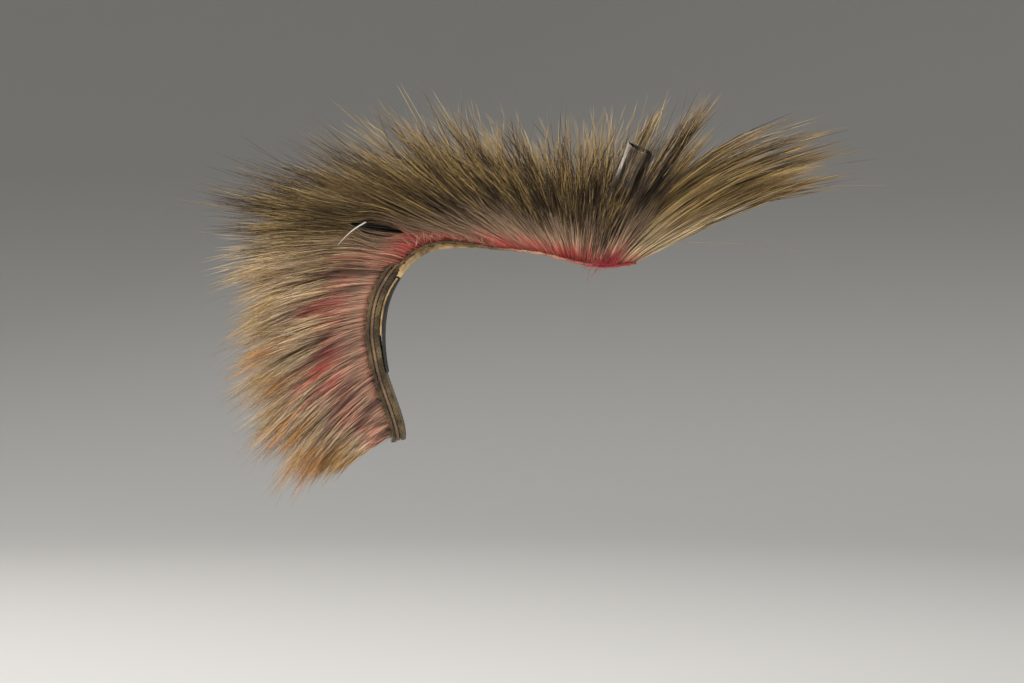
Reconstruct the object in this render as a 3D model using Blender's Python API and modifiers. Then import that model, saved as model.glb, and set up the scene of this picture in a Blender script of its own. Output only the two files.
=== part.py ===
"""Roach headdress: a woven base that follows the head from the forehead over the crown
to the nape, banks of hair sewn round its edge, and a metal feather socket near the front.

Metres, +X forward, +Z up, +Y to the wearer's left. The origin is where the underside of
the base sits on the crown. A place on the base is given by three numbers: the share along
its underside (0 front tip, 1 nape tip), the distance across from the middle, and the
height off the head.
"""

import bpy
import bmesh
import numpy as np
from math import pi, radians
from mathutils import Matrix, Vector

# Driving sizes of the base
BASE_LENGTH = 0.2745         # along the curved underside
BASE_HALF_WIDTH = 0.026      # at the widest, near the front
FRONT_ROUNDING = 0.030       # length of the rounded front end
NAPE_ROUNDING = 0.011        # length of the rounded nape end
CROWN_SHARE = 0.316          # share along the base where the origin lies
EDGE_SAG = 0.0043            # how far the edge drops below the middle at the widest
MAT_THICKNESS = 0.0036
CLEARANCE = 0.0003

# Cords and strips of the base
BRAID_WIDTH = 0.0032
BRAID_SIDES = 6
CORD_DIAMETER = 0.0022
STITCHING_DIAMETER = 0.0025
BINDING_DIAMETER = 0.0018
DARK_STRIP_THICKNESS = 0.0017
HIDE_THICKNESS = 0.0012
HIDE_WALL_HEIGHT = 0.0044    # of the crown strip, up the side of the base
HIDE_UNDERLAP = 0.0080       # of the crown strip, in under the mat
CORD_INSET = 0.36            # of the braid's width, from the edge in to the nape cord
STITCHING_INSET = 0.40       # the same for the stitched row above it
BINDING_SPREAD = 1.35        # room that the binding's corners take, as a share of it

# Feather socket
SOCKET_LENGTH = 0.076
SOCKET_RIM_RADIUS = 0.0091
SOCKET_FOOT_RADIUS = 0.0080
SOCKET_WALL = 0.0006
SOCKET_LEAN = 22.0           # degrees forward of upright
SOCKET_SHARE = 0.078         # share along the base where its axis meets the mat
SOCKET_STEPS = 24

# Hair
HAIR_LENGTH = 0.190
GUARD_THICKNESS = 0.0060     # of the long inner hair, at the fullest
FRINGE_THICKNESS = 0.0052    # of the outer hair
GUARD_INSET = 0.0098         # from the edge of the base in to the inner roots
FRINGE_INSET = 0.0060        # the same for the outer roots of the nape
FRINGE_FOOT = 0.0016         # height of the outer roots over the head on the crown
BANK_GAP = 0.0012            # along the edge, between one bank of hair and the next
TURN_SHARE = 0.12            # share of a hair's length over which it turns off the base

# Runs by the share along the base, from start to end
CROWN_HIDE_RUN = (0.345, 0.580)
DARK_STRIP_RUN = (0.588, 0.830)
NAPE_HIDE_RUN = (0.592, 0.735)

# Runs by the share round the edge
NAPE_CORDS_START = 0.557
BINDING_END = 0.572

# Heading of the underside on its way back, in degrees below level
SPINE = (
    ("share", "heading"),
    (0.000, -8.5), (0.088, -10.0), (0.146, -10.5), (0.225, -6.5), (0.312, -2.2),
    (0.400, 0.8), (0.459, 10.0), (0.513, 33.0), (0.566, 53.0), (0.625, 65.0),
    (0.683, 80.0), (0.742, 90.0), (0.810, 99.0), (0.870, 107.0), (0.920, 109.0),
    (0.975, 101.0), (1.000, 97.0),
)

# Shares of the half width, the edge sag, and the strips that lie under the mat
BASE = (
    ("share", "width", "sag", "dark", "hide", "wall"),
    (0.00, 1.00, 0.90, 0.00, 0.00, 0.00),
    (0.11, 1.00, 1.00, 0.00, 0.00, 0.00),
    (0.22, 0.92, 0.62, 0.00, 0.00, 0.00),
    (0.32, 0.78, 0.45, 0.00, 0.00, 0.00),
    (0.38, 0.71, 0.36, 0.00, 0.90, 0.52),
    (0.45, 0.64, 0.28, 0.00, 1.00, 0.95),
    (0.56, 0.59, 0.20, 0.00, 1.00, 1.00),
    (0.60, 0.58, 0.18, 0.65, 1.00, 0.60),
    (0.65, 0.57, 0.16, 1.00, 1.00, 0.00),
    (0.72, 0.56, 0.14, 0.80, 1.00, 0.00),
    (0.80, 0.55, 0.12, 0.45, 0.00, 0.00),
    (0.90, 0.53, 0.12, 0.00, 0.00, 0.00),
    (1.00, 0.52, 0.12, 0.00, 0.00, 0.00),
)

# Hair by the share round the edge (0 front, 1 nape tip): its angle from straight forward
# at root, middle and tip, its length and inset as shares, and how far it leans outward
GUARD = (
    ("edge", "root", "middle", "tip", "length", "inset", "lean"),
    (0.000, 36, 17, 14, 0.84, 0.70, 5), (0.040, 44, 23, 25, 0.96, 0.70, 5),
    (0.076, 53, 33, 12, 0.93, 0.72, 5), (0.084, 63, 58, 53, 0.62, 0.74, 5),
    (0.120, 76, 70, 68, 0.60, 0.80, 5), (0.145, 84, 78, 76, 0.55, 0.85, 6),
    (0.160, 91, 88, 89, 0.52, 0.88, 6), (0.186, 103, 105, 112, 0.52, 0.92, 6),
    (0.220, 118, 119, 125, 0.54, 1.00, 6), (0.260, 132, 128, 126, 0.63, 1.00, 6),
    (0.300, 140, 136, 130, 0.69, 1.00, 6), (0.350, 146, 147, 138, 0.73, 1.00, 6),
    (0.390, 151, 156, 146, 0.80, 1.00, 6), (0.440, 156, 163, 151, 0.90, 1.00, 6),
    (0.480, 160, 169, 157, 0.93, 1.00, 6), (0.520, 163, 175, 167, 0.85, 1.00, 6),
    (0.570, 166, 177, 176, 0.72, 0.98, 6), (0.610, 170, 182, 188, 0.60, 0.96, 6),
    (0.667, 177, 193, 201, 0.53, 0.95, 6), (0.725, 187, 206, 214, 0.52, 0.95, 6),
    (0.780, 195, 214, 226, 0.51, 0.95, 6), (0.840, 205, 223, 233, 0.46, 0.95, 6),
    (0.890, 206, 219, 230, 0.38, 0.95, 6), (0.940, 200, 212, 224, 0.30, 0.90, 5),
    (1.000, 196, 204, 214, 0.25, 0.85, 5),
)
FRINGE = (
    ("edge", "root", "middle", "tip", "length", "inset", "lean"),
    (0.000, 26, 18, 14, 0.74, 1.00, 12), (0.040, 36, 24, 18, 0.79, 1.00, 12),
    (0.076, 48, 34, 18, 0.76, 1.00, 12), (0.084, 58, 54, 50, 0.59, 1.00, 12),
    (0.120, 72, 68, 64, 0.53, 1.00, 12), (0.145, 82, 78, 76, 0.46, 1.00, 13),
    (0.160, 90, 88, 90, 0.42, 1.00, 13), (0.186, 106, 108, 114, 0.42, 1.00, 14),
    (0.220, 124, 127, 132, 0.48, 1.00, 14), (0.260, 138, 137, 134, 0.58, 1.00, 14),
    (0.300, 147, 144, 138, 0.64, 1.00, 15), (0.350, 152, 151, 144, 0.68, 1.00, 15),
    (0.390, 155, 157, 150, 0.73, 1.00, 16), (0.440, 157, 164, 156, 0.80, 1.00, 16),
    (0.490, 159, 172, 166, 0.78, 1.00, 16), (0.525, 160, 177, 182, 0.70, 1.00, 16),
    (0.572, 162, 178, 192, 0.65, 1.00, 16), (0.610, 166, 182, 195, 0.61, 1.00, 16),
    (0.667, 176, 192, 201, 0.55, 1.00, 17), (0.725, 186, 206, 214, 0.55, 1.00, 17),
    (0.780, 195, 216, 229, 0.53, 1.00, 17), (0.840, 211, 228, 238, 0.53, 1.00, 17),
    (0.890, 213, 228, 243, 0.41, 1.00, 17), (0.940, 205, 221, 238, 0.32, 1.00, 16),
    (1.000, 196, 205, 216, 0.25, 1.00, 14),
)

# Banks of hair on each side: the row, where the bank starts and ends, and its locks
BANKS = (
    ("guard_front", GUARD, 0.003, 0.080, 5), ("guard_crown", GUARD, 0.080, 0.335, 10),
    ("guard_back", GUARD, 0.335, 0.590, 8), ("guard_nape", GUARD, 0.590, 0.760, 5),
    ("guard_nape_end", GUARD, 0.760, 0.905, 4), ("fringe_front", FRINGE, 0.003, 0.080, 5),
    ("fringe_crown", FRINGE, 0.080, 0.335, 10), ("fringe_back", FRINGE, 0.335, 0.574, 8),
    ("fringe_nape", FRINGE, 0.580, 0.770, 6), ("fringe_nape_end", FRINGE, 0.770, 0.988, 6),
)
NAPE_BANKS_START = 0.577     # from here the outer roots stand on the mat, inside the cords

# Rings of a lock by the share of its length: thickness and width left
LOCK_RINGS = (
    ("reach", "thickness", "width"),
    (0.00, 0.46, 1.00), (0.16, 0.80, 1.00), (0.40, 1.00, 1.00), (0.58, 0.86, 0.94),
    (0.78, 0.62, 0.62), (1.00, 0.00, 0.00),
)
ROOT_THICKNESS = LOCK_RINGS[1][1]
FORK_RING = 2                # up to this ring neighbouring locks share their edges
GROOVE = 0.55                # thickness at the edge of a lock, as a share of its middle
LOCK_SHORTEST = 0.90         # of the length in the table, and how much longer others are
LOCK_SPREAD = 0.13

COLOURS = {
    "base_mat": (0.13, 0.11, 0.06), "edge_braid": (0.16, 0.13, 0.07),
    "nape_cord": (0.36, 0.24, 0.18), "nape_stitching": (0.15, 0.13, 0.07),
    "crown_binding": (0.45, 0.22, 0.14), "dark_strip": (0.03, 0.025, 0.02),
    "crown_hide_strip": (0.50, 0.36, 0.19), "nape_hide_strip": (0.48, 0.35, 0.19),
    "feather_socket": (0.42, 0.40, 0.38), "guard": (0.25, 0.18, 0.09),
    "fringe": (0.38, 0.24, 0.17),
}


def read(table, name, share):
    """A column of a table at a share, along a smooth curve that never overshoots a row."""
    place = table[0].index(name)
    rows = np.array(table[1:], dtype=float)
    at, value = rows[:, 0], rows[:, place]
    step = np.diff(at)
    slope = np.diff(value) / step
    bend = np.zeros(len(at))
    bend[0], bend[-1] = slope[0], slope[-1]
    same = slope[:-1] * slope[1:] > 0
    left = np.where(same, slope[:-1], 1.0)
    right = np.where(same, slope[1:], 1.0)
    bend[1:-1] = np.where(same, 2 * left * right / (left + right), 0.0)
    share = np.clip(share, at[0], at[-1])
    k = np.clip(np.searchsorted(at, share, side="right") - 1, 0, len(step) - 1)
    t = (share - at[k]) / step[k]
    return ((1 + 2 * t) * (1 - t) ** 2 * value[k] + t * (1 - t) ** 2 * step[k] * bend[k]
            + t * t * (3 - 2 * t) * value[k + 1] - t * t * (1 - t) * step[k] * bend[k + 1])


def make_spine():
    """The middle of the underside: shares along it, and its x and z, with the crown at 0."""
    share = np.linspace(0.0, 1.0, 401)
    heading = np.radians(read(SPINE, "heading", (share[1:] + share[:-1]) / 2))
    step = BASE_LENGTH / (len(share) - 1)
    x = np.concatenate(([0.0], np.cumsum(-np.cos(heading) * step)))
    z = np.concatenate(([0.0], np.cumsum(-np.sin(heading) * step)))
    return share, x - np.interp(CROWN_SHARE, share, x), z - np.interp(CROWN_SHARE, share, z)


SPINE_SHARE, SPINE_X, SPINE_Z = make_spine()


def back_and_up(share):
    """Unit vectors along the base towards the nape and off the head."""
    heading = radians(float(read(SPINE, "heading", share)))
    back = Vector((-np.cos(heading), 0.0, -np.sin(heading)))
    return back, Vector((back.z, 0.0, -back.x))


def base_point(share, across, height):
    """A point by share along the base, distance across and height off the head. Past
    either tip the base runs straight on."""
    back, up = back_and_up(share)
    middle = Vector((np.interp(share, SPINE_SHARE, SPINE_X), 0.0,
                     np.interp(share, SPINE_SHARE, SPINE_Z)))
    middle += back * (BASE_LENGTH * (share - min(max(share, 0.0), 1.0)))
    half = BASE_HALF_WIDTH * float(read(BASE, "width", share))
    drop = EDGE_SAG * float(read(BASE, "sag", share)) * (across / half) ** 2
    return middle + Vector((0.0, across, 0.0)) + up * (height - drop)


def make_outline():
    """The edge of the base laid flat: shares round it, distances along and across."""
    angle = np.linspace(0.0, pi, 601)
    along = BASE_LENGTH * (1 - np.cos(angle)) / 2
    front = np.clip(1 - along / FRONT_ROUNDING, 0.0, 1.0)
    nape = np.clip(1 - (BASE_LENGTH - along) / NAPE_ROUNDING, 0.0, 1.0)
    half = BASE_HALF_WIDTH * read(BASE, "width", along / BASE_LENGTH)
    across = half * np.sqrt(1 - front**2) * np.sqrt(1 - nape**2)
    length = np.concatenate(([0.0], np.cumsum(np.hypot(np.diff(along), np.diff(across)))))
    return length / length[-1], along, across, length[-1]


EDGE_SHARE, EDGE_ALONG, EDGE_ACROSS, EDGE_LENGTH = make_outline()


def edge_place(edge, inset):
    """Share along the base, distance across and outward direction of a place round the
    edge, moved in from it by the inset. The direction is (back, outward to the side)."""
    step = 0.002
    before, after = max(edge - step, 0.0), min(edge + step, 1.0)
    along, across = (np.interp(edge, EDGE_SHARE, v) for v in (EDGE_ALONG, EDGE_ACROSS))
    run = [np.interp(after, EDGE_SHARE, v) - np.interp(before, EDGE_SHARE, v)
           for v in (EDGE_ALONG, EDGE_ACROSS)]
    if edge <= step:
        run[0] *= edge / step
    if edge >= 1 - step:
        run[0] *= (1 - edge) / step
    size = np.hypot(*run)
    out = (-run[1] / size, run[0] / size)
    return (along - inset * out[0]) / BASE_LENGTH, across - inset * out[1], out


STATIONS = np.linspace(0.0, 1.0, 65)
MAT_EDGES = (0.008, 0.028, 0.055, 0.085, 0.115, *np.linspace(0.14, 0.945, 44), 0.960, 0.975,
             0.988, 0.997)
BRAID_STEPS = 46
CORD_STEPS = 26
BINDING_STEPS = 32


def stations(start, end):
    """The common stations along the base between two shares, with both ends."""
    near = 0.3 * STATIONS[1]
    between = [share for share in STATIONS if start + near < share < end - near]
    return [start, *between, end]


def mat_underside(share):
    """Height of the mat off the head: on what lies under it."""
    dark, hide = float(read(BASE, "dark", share)), float(read(BASE, "hide", share))
    gaps = 2 * CLEARANCE * min(1.0, 2 * max(dark, hide))
    return dark * DARK_STRIP_THICKNESS + hide * HIDE_THICKNESS + gaps


def mat_top(share):
    return mat_underside(share) + MAT_THICKNESS


def wall_top(share):
    """Height of the top of the hide that stands against the side of the crown."""
    return HIDE_WALL_HEIGHT * float(read(BASE, "wall", share))


def new_material(name, colour, roughness=0.85, metallic=0.0):
    material = bpy.data.materials.new(name)
    material.use_nodes = True
    shader = material.node_tree.nodes["Principled BSDF"]
    shader.inputs["Base Color"].default_value = (*colour, 1.0)
    shader.inputs["Roughness"].default_value = roughness
    shader.inputs["Metallic"].default_value = metallic
    return material


def new_piece(name, mesh, colour, roughness=0.85, metallic=0.0, smooth=35.0):
    piece = bpy.data.objects.new(name, mesh)
    parts.objects.link(piece)
    mesh.materials.append(new_material(name, colour, roughness, metallic))
    mesh.shade_smooth()
    mesh.set_sharp_from_angle(angle=radians(smooth))
    return piece


def finish_mesh(name, shape):
    """A mesh from a bmesh, with its faces turned outward."""
    bmesh.ops.recalc_face_normals(shape, faces=shape.faces)
    mesh = bpy.data.meshes.new(name)
    shape.to_mesh(mesh)
    shape.free()
    return mesh


def loft(name, rings, closed=False):
    """A closed body through rings of points: a loop of rings, or one capped at both ends."""
    shape = bmesh.new()
    loops = [[shape.verts.new(point) for point in ring] for ring in rings]
    pairs = list(zip(loops, loops[1:]))
    if closed:
        pairs.append((loops[-1], loops[0]))
    else:
        shape.faces.new(loops[0])
        shape.faces.new(list(reversed(loops[-1])))
    for near, far in pairs:
        for k in range(len(near)):
            after = (k + 1) % len(near)
            shape.faces.new((near[k], near[after], far[after], far[k]))
    return finish_mesh(name, shape)


def tube(name, points, diameter, colour):
    """A cord through points: a curve with round section and filled ends."""
    curve = bpy.data.curves.new(name, "CURVE")
    curve.dimensions = "3D"
    curve.bevel_depth = diameter / 2
    curve.bevel_resolution = 1
    curve.use_fill_caps = True
    spline = curve.splines.new("POLY")
    spline.points.add(len(points) - 1)
    for place, point in zip(spline.points, points):
        place.co = (*point, 1.0)
    piece = bpy.data.objects.new(name, curve)
    parts.objects.link(piece)
    curve.materials.append(new_material(name, colour))
    return piece


def edge_run(inset, height, start, end, steps):
    """Points on both sides of the base: from the right at one end of the run, through the
    tip that the run reaches, to the left. Height is a function of the share along."""
    def points(side):
        for k in range(steps + 1):
            edge = start + (end - start) * k / steps
            share, across, _ = edge_place(edge, inset)
            yield base_point(share, side * across, height(share))
    right, left = list(points(-1)), list(points(1))
    return right + list(reversed(left))[1:]


def build_mat():
    """The woven mat inside the edge braid, as sections along the base."""
    inset = BRAID_WIDTH + CLEARANCE
    corner = 0.22 * MAT_THICKNESS
    rings = []
    for edge in MAT_EDGES:
        share, half, _ = edge_place(edge, inset)
        low, high = mat_underside(share), mat_top(share)
        flat = 1 - min(0.4, corner / half)
        side = [(1.0, low + corner), (1.0, high - corner), (flat, high), (0.5, high),
                (-0.5, high), (-flat, high), (-1.0, high - corner), (-1.0, low + corner),
                (-flat, low), (-0.5, low), (0.5, low), (flat, low)]
        rings.append([base_point(share, half * across, height) for across, height in side])
    new_piece("base_mat", loft("base_mat", rings), COLOURS["base_mat"])


def build_edge_braid():
    """The outermost coil of the base: a flattened cord as tall as the mat."""
    rings = []
    for side in (-1, 1):
        for k in range(BRAID_STEPS):
            edge = k / BRAID_STEPS if side < 0 else 1 - k / BRAID_STEPS
            share, across, out = edge_place(edge, BRAID_WIDTH / 2)
            middle = mat_underside(share) + MAT_THICKNESS / 2
            back, up = back_and_up(share)
            outward = back * out[0] + Vector((0.0, side * out[1], 0.0))
            centre = base_point(share, side * across, middle)
            ring = []
            for turn in range(BRAID_SIDES):
                angle = 2 * pi * (turn + 0.5) / BRAID_SIDES
                ring.append(centre + outward * (0.5 * BRAID_WIDTH * np.cos(angle))
                            + up * (0.5 * MAT_THICKNESS * np.sin(angle)))
            rings.append(ring)
    mesh = loft("edge_braid", rings, closed=True)
    new_piece("edge_braid", mesh, COLOURS["edge_braid"], smooth=50.0)


def build_nape_cords():
    """The cord and the stitched row that stand on the braid round the nape."""
    cord = CLEARANCE + CORD_DIAMETER / 2
    stitching = 2 * CLEARANCE + CORD_DIAMETER + STITCHING_DIAMETER / 2
    for name, inset, rise, diameter in (
            ("nape_cord", BRAID_WIDTH * CORD_INSET, cord, CORD_DIAMETER),
            ("nape_stitching", BRAID_WIDTH * STITCHING_INSET, stitching, STITCHING_DIAMETER)):
        points = edge_run(inset, lambda share: mat_top(share) + rise, NAPE_CORDS_START, 1.0,
                          CORD_STEPS)
        tube(name, points, diameter, COLOURS[name])


def build_crown_binding():
    """The tied root ends of the outer hair, along the lower edge of crown and front."""
    outer_roots = 2 * CLEARANCE + ROOT_THICKNESS * FRINGE_THICKNESS
    inset = -(outer_roots + BINDING_SPREAD * BINDING_DIAMETER / 2 + CLEARANCE)
    points = edge_run(inset, lambda share: wall_top(share) + BINDING_DIAMETER * 0.55,
                      BINDING_END, 0.0, BINDING_STEPS)
    tube("crown_binding", points, BINDING_DIAMETER, COLOURS["crown_binding"])


def build_crown_hide_strip():
    """A strip of hide on the right: in under the mat and up the side of the crown."""
    rings = []
    for share in stations(*CROWN_HIDE_RUN):
        half = BASE_HALF_WIDTH * float(read(BASE, "width", share))
        thick = HIDE_THICKNESS * float(read(BASE, "hide", share))
        inner, face = half - HIDE_UNDERLAP, half + CLEARANCE
        outer = face + HIDE_THICKNESS
        section = [(inner, 0.0), (outer, 0.0), (outer, max(wall_top(share), thick)),
                   (face, max(wall_top(share), thick)), (face, thick), (inner, thick)]
        rings.append([base_point(share, -across, height) for across, height in section])
    new_piece("crown_hide_strip", loft("crown_hide_strip", rings),
              COLOURS["crown_hide_strip"], roughness=0.7)


def build_nape_strips():
    """The dark strip against the head behind the crown, and the thin hide between it and
    the mat."""
    def strip(name, start, end, bottom, thickness):
        rings = []
        for share in stations(start, end):
            half = BASE_HALF_WIDTH * float(read(BASE, "width", share)) - CLEARANCE
            low, high = bottom(share), bottom(share) + thickness(share)
            section = [(half, low), (half, high), (0.0, high), (-half, high), (-half, low),
                       (0.0, low)]
            rings.append([base_point(share, across, height) for across, height in section])
        new_piece(name, loft(name, rings), COLOURS[name], roughness=0.7)

    def dark(share):
        return DARK_STRIP_THICKNESS * float(read(BASE, "dark", share))

    strip("dark_strip", *DARK_STRIP_RUN, lambda share: 0.0, dark)
    strip("nape_hide_strip", *NAPE_HIDE_RUN, lambda share: dark(share) + CLEARANCE,
          lambda share: HIDE_THICKNESS * float(read(BASE, "hide", share)))


def build_feather_socket():
    """An open metal tube, a little wider at its rim, cut at the foot to sit on the mat."""
    foot = base_point(SOCKET_SHARE, 0.0, mat_top(SOCKET_SHARE) + CLEARANCE)
    spare = SOCKET_FOOT_RADIUS
    profile = [(SOCKET_RIM_RADIUS, SOCKET_LENGTH), (SOCKET_FOOT_RADIUS, -spare),
               (SOCKET_FOOT_RADIUS - SOCKET_WALL, -spare),
               (SOCKET_RIM_RADIUS - SOCKET_WALL, SOCKET_LENGTH)]
    mesh = bpy.data.meshes.new("feather_socket")
    mesh.from_pydata([(radius, 0.0, z) for radius, z in profile],
                     [(0, 1), (1, 2), (2, 3), (3, 0)], [])
    socket = new_piece("feather_socket", mesh, COLOURS["feather_socket"], 0.35, 1.0)
    socket.location = foot
    socket.rotation_euler = (0.0, radians(SOCKET_LEAN), 0.0)
    turned = socket.modifiers.new("turned", "SCREW")
    turned.steps = SOCKET_STEPS
    turned.render_steps = SOCKET_STEPS
    turned.use_merge_vertices = True
    turned.merge_threshold = 0.00001
    back, up = back_and_up(SOCKET_SHARE)
    size = 6 * SOCKET_FOOT_RADIUS
    bpy.ops.mesh.primitive_cube_add(size=size)
    cutter = bpy.context.object
    cutter.name = "socket_foot_cutter"
    axes = Matrix((back, Vector((0.0, 1.0, 0.0)), up)).transposed().to_4x4()
    cutter.matrix_world = Matrix.Translation(foot - up * (size / 2)) @ axes
    for holder in cutter.users_collection:
        holder.objects.unlink(cutter)
    cutters.objects.link(cutter)
    cutter.hide_render = True
    cutter.display_type = "WIRE"
    cut = socket.modifiers.new("foot", "BOOLEAN")
    cut.operation = "DIFFERENCE"
    cut.object = cutter


GAUSS_AT, GAUSS_WEIGHT = np.polynomial.legendre.leggauss(6)


def hair_root(row, side, edge):
    """Root of a hair: its point, and the outward direction along the surface there."""
    inset = float(read(row, "inset", edge))
    if row is GUARD:
        inset *= GUARD_INSET
    elif edge > NAPE_BANKS_START:
        inset *= FRINGE_INSET
    else:
        inset = -(CLEARANCE + ROOT_THICKNESS * FRINGE_THICKNESS / 2)
    share, across, out = edge_place(edge, inset)
    if row is FRINGE and edge <= NAPE_BANKS_START:
        height = wall_top(share) + FRINGE_FOOT
    else:
        height = mat_top(share) + CLEARANCE
    back, _ = back_and_up(share)
    outward = back * out[0] + Vector((0.0, side * out[1], 0.0))
    return base_point(share, side * across, height), outward, out[1]


def hair_place(row, side, edge, reach):
    """A point on a hair at a share of its length, and the direction across the bank.

    The angle follows a parabola through its root, middle and tip values, and the point is
    the root plus the mean direction so far times the length so far."""
    root, outward, sideways = hair_root(row, side, edge)
    angles = [float(read(row, name, edge)) for name in ("root", "middle", "tip")]
    lean = np.sin(np.radians(float(read(row, "lean", edge)))) * sideways
    at = reach * np.append((GAUSS_AT + 1) / 2, 1.0)
    angle = np.radians(angles[0] * (1 - at) * (1 - 2 * at) + angles[1] * 4 * at * (1 - at)
                       + angles[2] * at * (2 * at - 1))
    level = np.sqrt(1 - lean**2)
    ways = np.stack([np.cos(angle) * level, np.full(at.shape, side * lean),
                     np.sin(angle) * level], axis=1)
    mean = (GAUSS_WEIGHT[:, None] * ways[:-1]).sum(axis=0) / 2
    length = HAIR_LENGTH * float(read(row, "length", edge)) * reach
    way = Vector(ways[-1])
    free = (outward - way * outward.dot(way)).normalized()
    blend = min(1.0, reach / TURN_SHARE)
    return root + Vector(mean) * length, outward.lerp(free, blend).normalized()


def build_bank(name, row, side, start, end, count):
    """One bank of hair: ridged locks that are one sheet at the roots and part at the fork.

    Rings of points run across each lock: its left edge, its middle and its right edge, on
    the outer face and on the inner one. Up to the fork neighbours share their edges."""
    thickness = (GUARD_THICKNESS if row is GUARD else FRINGE_THICKNESS) / 2
    half_gap = BANK_GAP / EDGE_LENGTH / 2
    bounds = np.linspace(start + half_gap, end - half_gap, count + 1)
    reaches = [ring[0] for ring in LOCK_RINGS[1:]]
    shape = bmesh.new()

    def pair(edge, reach, depth):
        centre, outward = hair_place(row, side, edge, reach)
        return (shape.verts.new(centre + outward * depth),
                shape.verts.new(centre - outward * depth))

    shared = []
    for bound in bounds:
        shared.append([pair(bound, reaches[k], thickness * GROOVE * LOCK_RINGS[k + 1][1])
                       for k in range(FORK_RING + 1)])
    for j in range(count):
        middle = (bounds[j] + bounds[j + 1]) / 2
        half = (bounds[j + 1] - bounds[j]) / 2
        stretch = LOCK_SHORTEST + LOCK_SPREAD * ((j * 0.618 + 0.3) % 1.0)
        rings = []
        for k, (reach, thick, width) in enumerate(LOCK_RINGS[1:-1]):
            depth = thickness * thick
            if k <= FORK_RING:
                left, right = shared[j][k], shared[j + 1][k]
                centre = pair(middle, reach, depth)
            else:
                reach = LOCK_RINGS[FORK_RING + 1][0] + (
                    reach - LOCK_RINGS[FORK_RING + 1][0]) * stretch
                left = pair(middle - half * width, reach, depth * GROOVE)
                right = pair(middle + half * width, reach, depth * GROOVE)
                centre = pair(middle, reach, depth)
            rings.append((left[0], centre[0], right[0], right[1], centre[1], left[1]))
        tip = shape.verts.new(hair_place(row, side, middle, stretch)[0])
        root = rings[0]
        shape.faces.new((root[0], root[1], root[4], root[5]))
        shape.faces.new((root[1], root[2], root[3], root[4]))
        for k, (near, far) in enumerate(zip(rings, rings[1:])):
            for a in range(6):
                inner_wall = (a == 2 and j < count - 1) or (a == 5 and j > 0)
                if inner_wall and k < FORK_RING:
                    continue
                b = (a + 1) % 6
                shape.faces.new((near[a], near[b], far[b], far[a]))
        for a in range(6):
            shape.faces.new((rings[-1][a], rings[-1][(a + 1) % 6], tip))
    full_name = f"{name}_{'right' if side < 0 else 'left'}"
    new_piece(full_name, finish_mesh(full_name, shape),
              COLOURS["guard" if row is GUARD else "fringe"], smooth=60.0)


def build_hair():
    for side in (-1, 1):
        for name, row, start, end, count in BANKS:
            build_bank(name, row, side, start, end, count)


for old in list(bpy.data.objects):
    bpy.data.objects.remove(old, do_unlink=True)
parts = bpy.data.collections.new("roach_headdress")
cutters = bpy.data.collections.new("cutters")
bpy.context.scene.collection.children.link(parts)
bpy.context.scene.collection.children.link(cutters)

build_mat()
build_edge_braid()
build_nape_cords()
build_crown_binding()
build_crown_hide_strip()
build_nape_strips()
build_feather_socket()
build_hair()
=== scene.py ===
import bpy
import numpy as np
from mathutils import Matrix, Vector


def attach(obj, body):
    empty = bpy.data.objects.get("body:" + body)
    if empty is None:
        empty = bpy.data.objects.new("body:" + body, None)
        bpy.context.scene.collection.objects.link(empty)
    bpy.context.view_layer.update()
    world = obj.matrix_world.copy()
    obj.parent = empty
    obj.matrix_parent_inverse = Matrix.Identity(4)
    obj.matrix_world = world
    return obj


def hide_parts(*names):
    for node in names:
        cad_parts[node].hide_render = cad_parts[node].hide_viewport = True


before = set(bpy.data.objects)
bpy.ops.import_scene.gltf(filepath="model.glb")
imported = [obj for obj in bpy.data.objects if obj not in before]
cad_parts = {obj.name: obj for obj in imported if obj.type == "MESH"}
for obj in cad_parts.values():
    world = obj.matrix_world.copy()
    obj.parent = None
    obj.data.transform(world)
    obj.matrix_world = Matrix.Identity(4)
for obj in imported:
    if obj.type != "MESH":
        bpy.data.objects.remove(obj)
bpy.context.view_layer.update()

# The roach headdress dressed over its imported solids: hair strand by strand, plaited edge,
# twisted cord, stitches, hide and crinkled metal. Metres, +X forward, +Z up, the wearer's
# left is +Y. The origin is the crown, under the base.

print("frame loaded:", len(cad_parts), "nodes")

# Sizes of the base, as in the solids
base = {
    "length": 0.2745, "halfWidth": 0.026, "frontRounding": 0.030, "napeRounding": 0.011,
    "crownShare": 0.316, "edgeSag": 0.0043, "matThickness": 0.0036, "gap": 0.0003,
    "darkThickness": 0.0017, "hideThickness": 0.0012, "hideWall": 0.0044,
}

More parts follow.
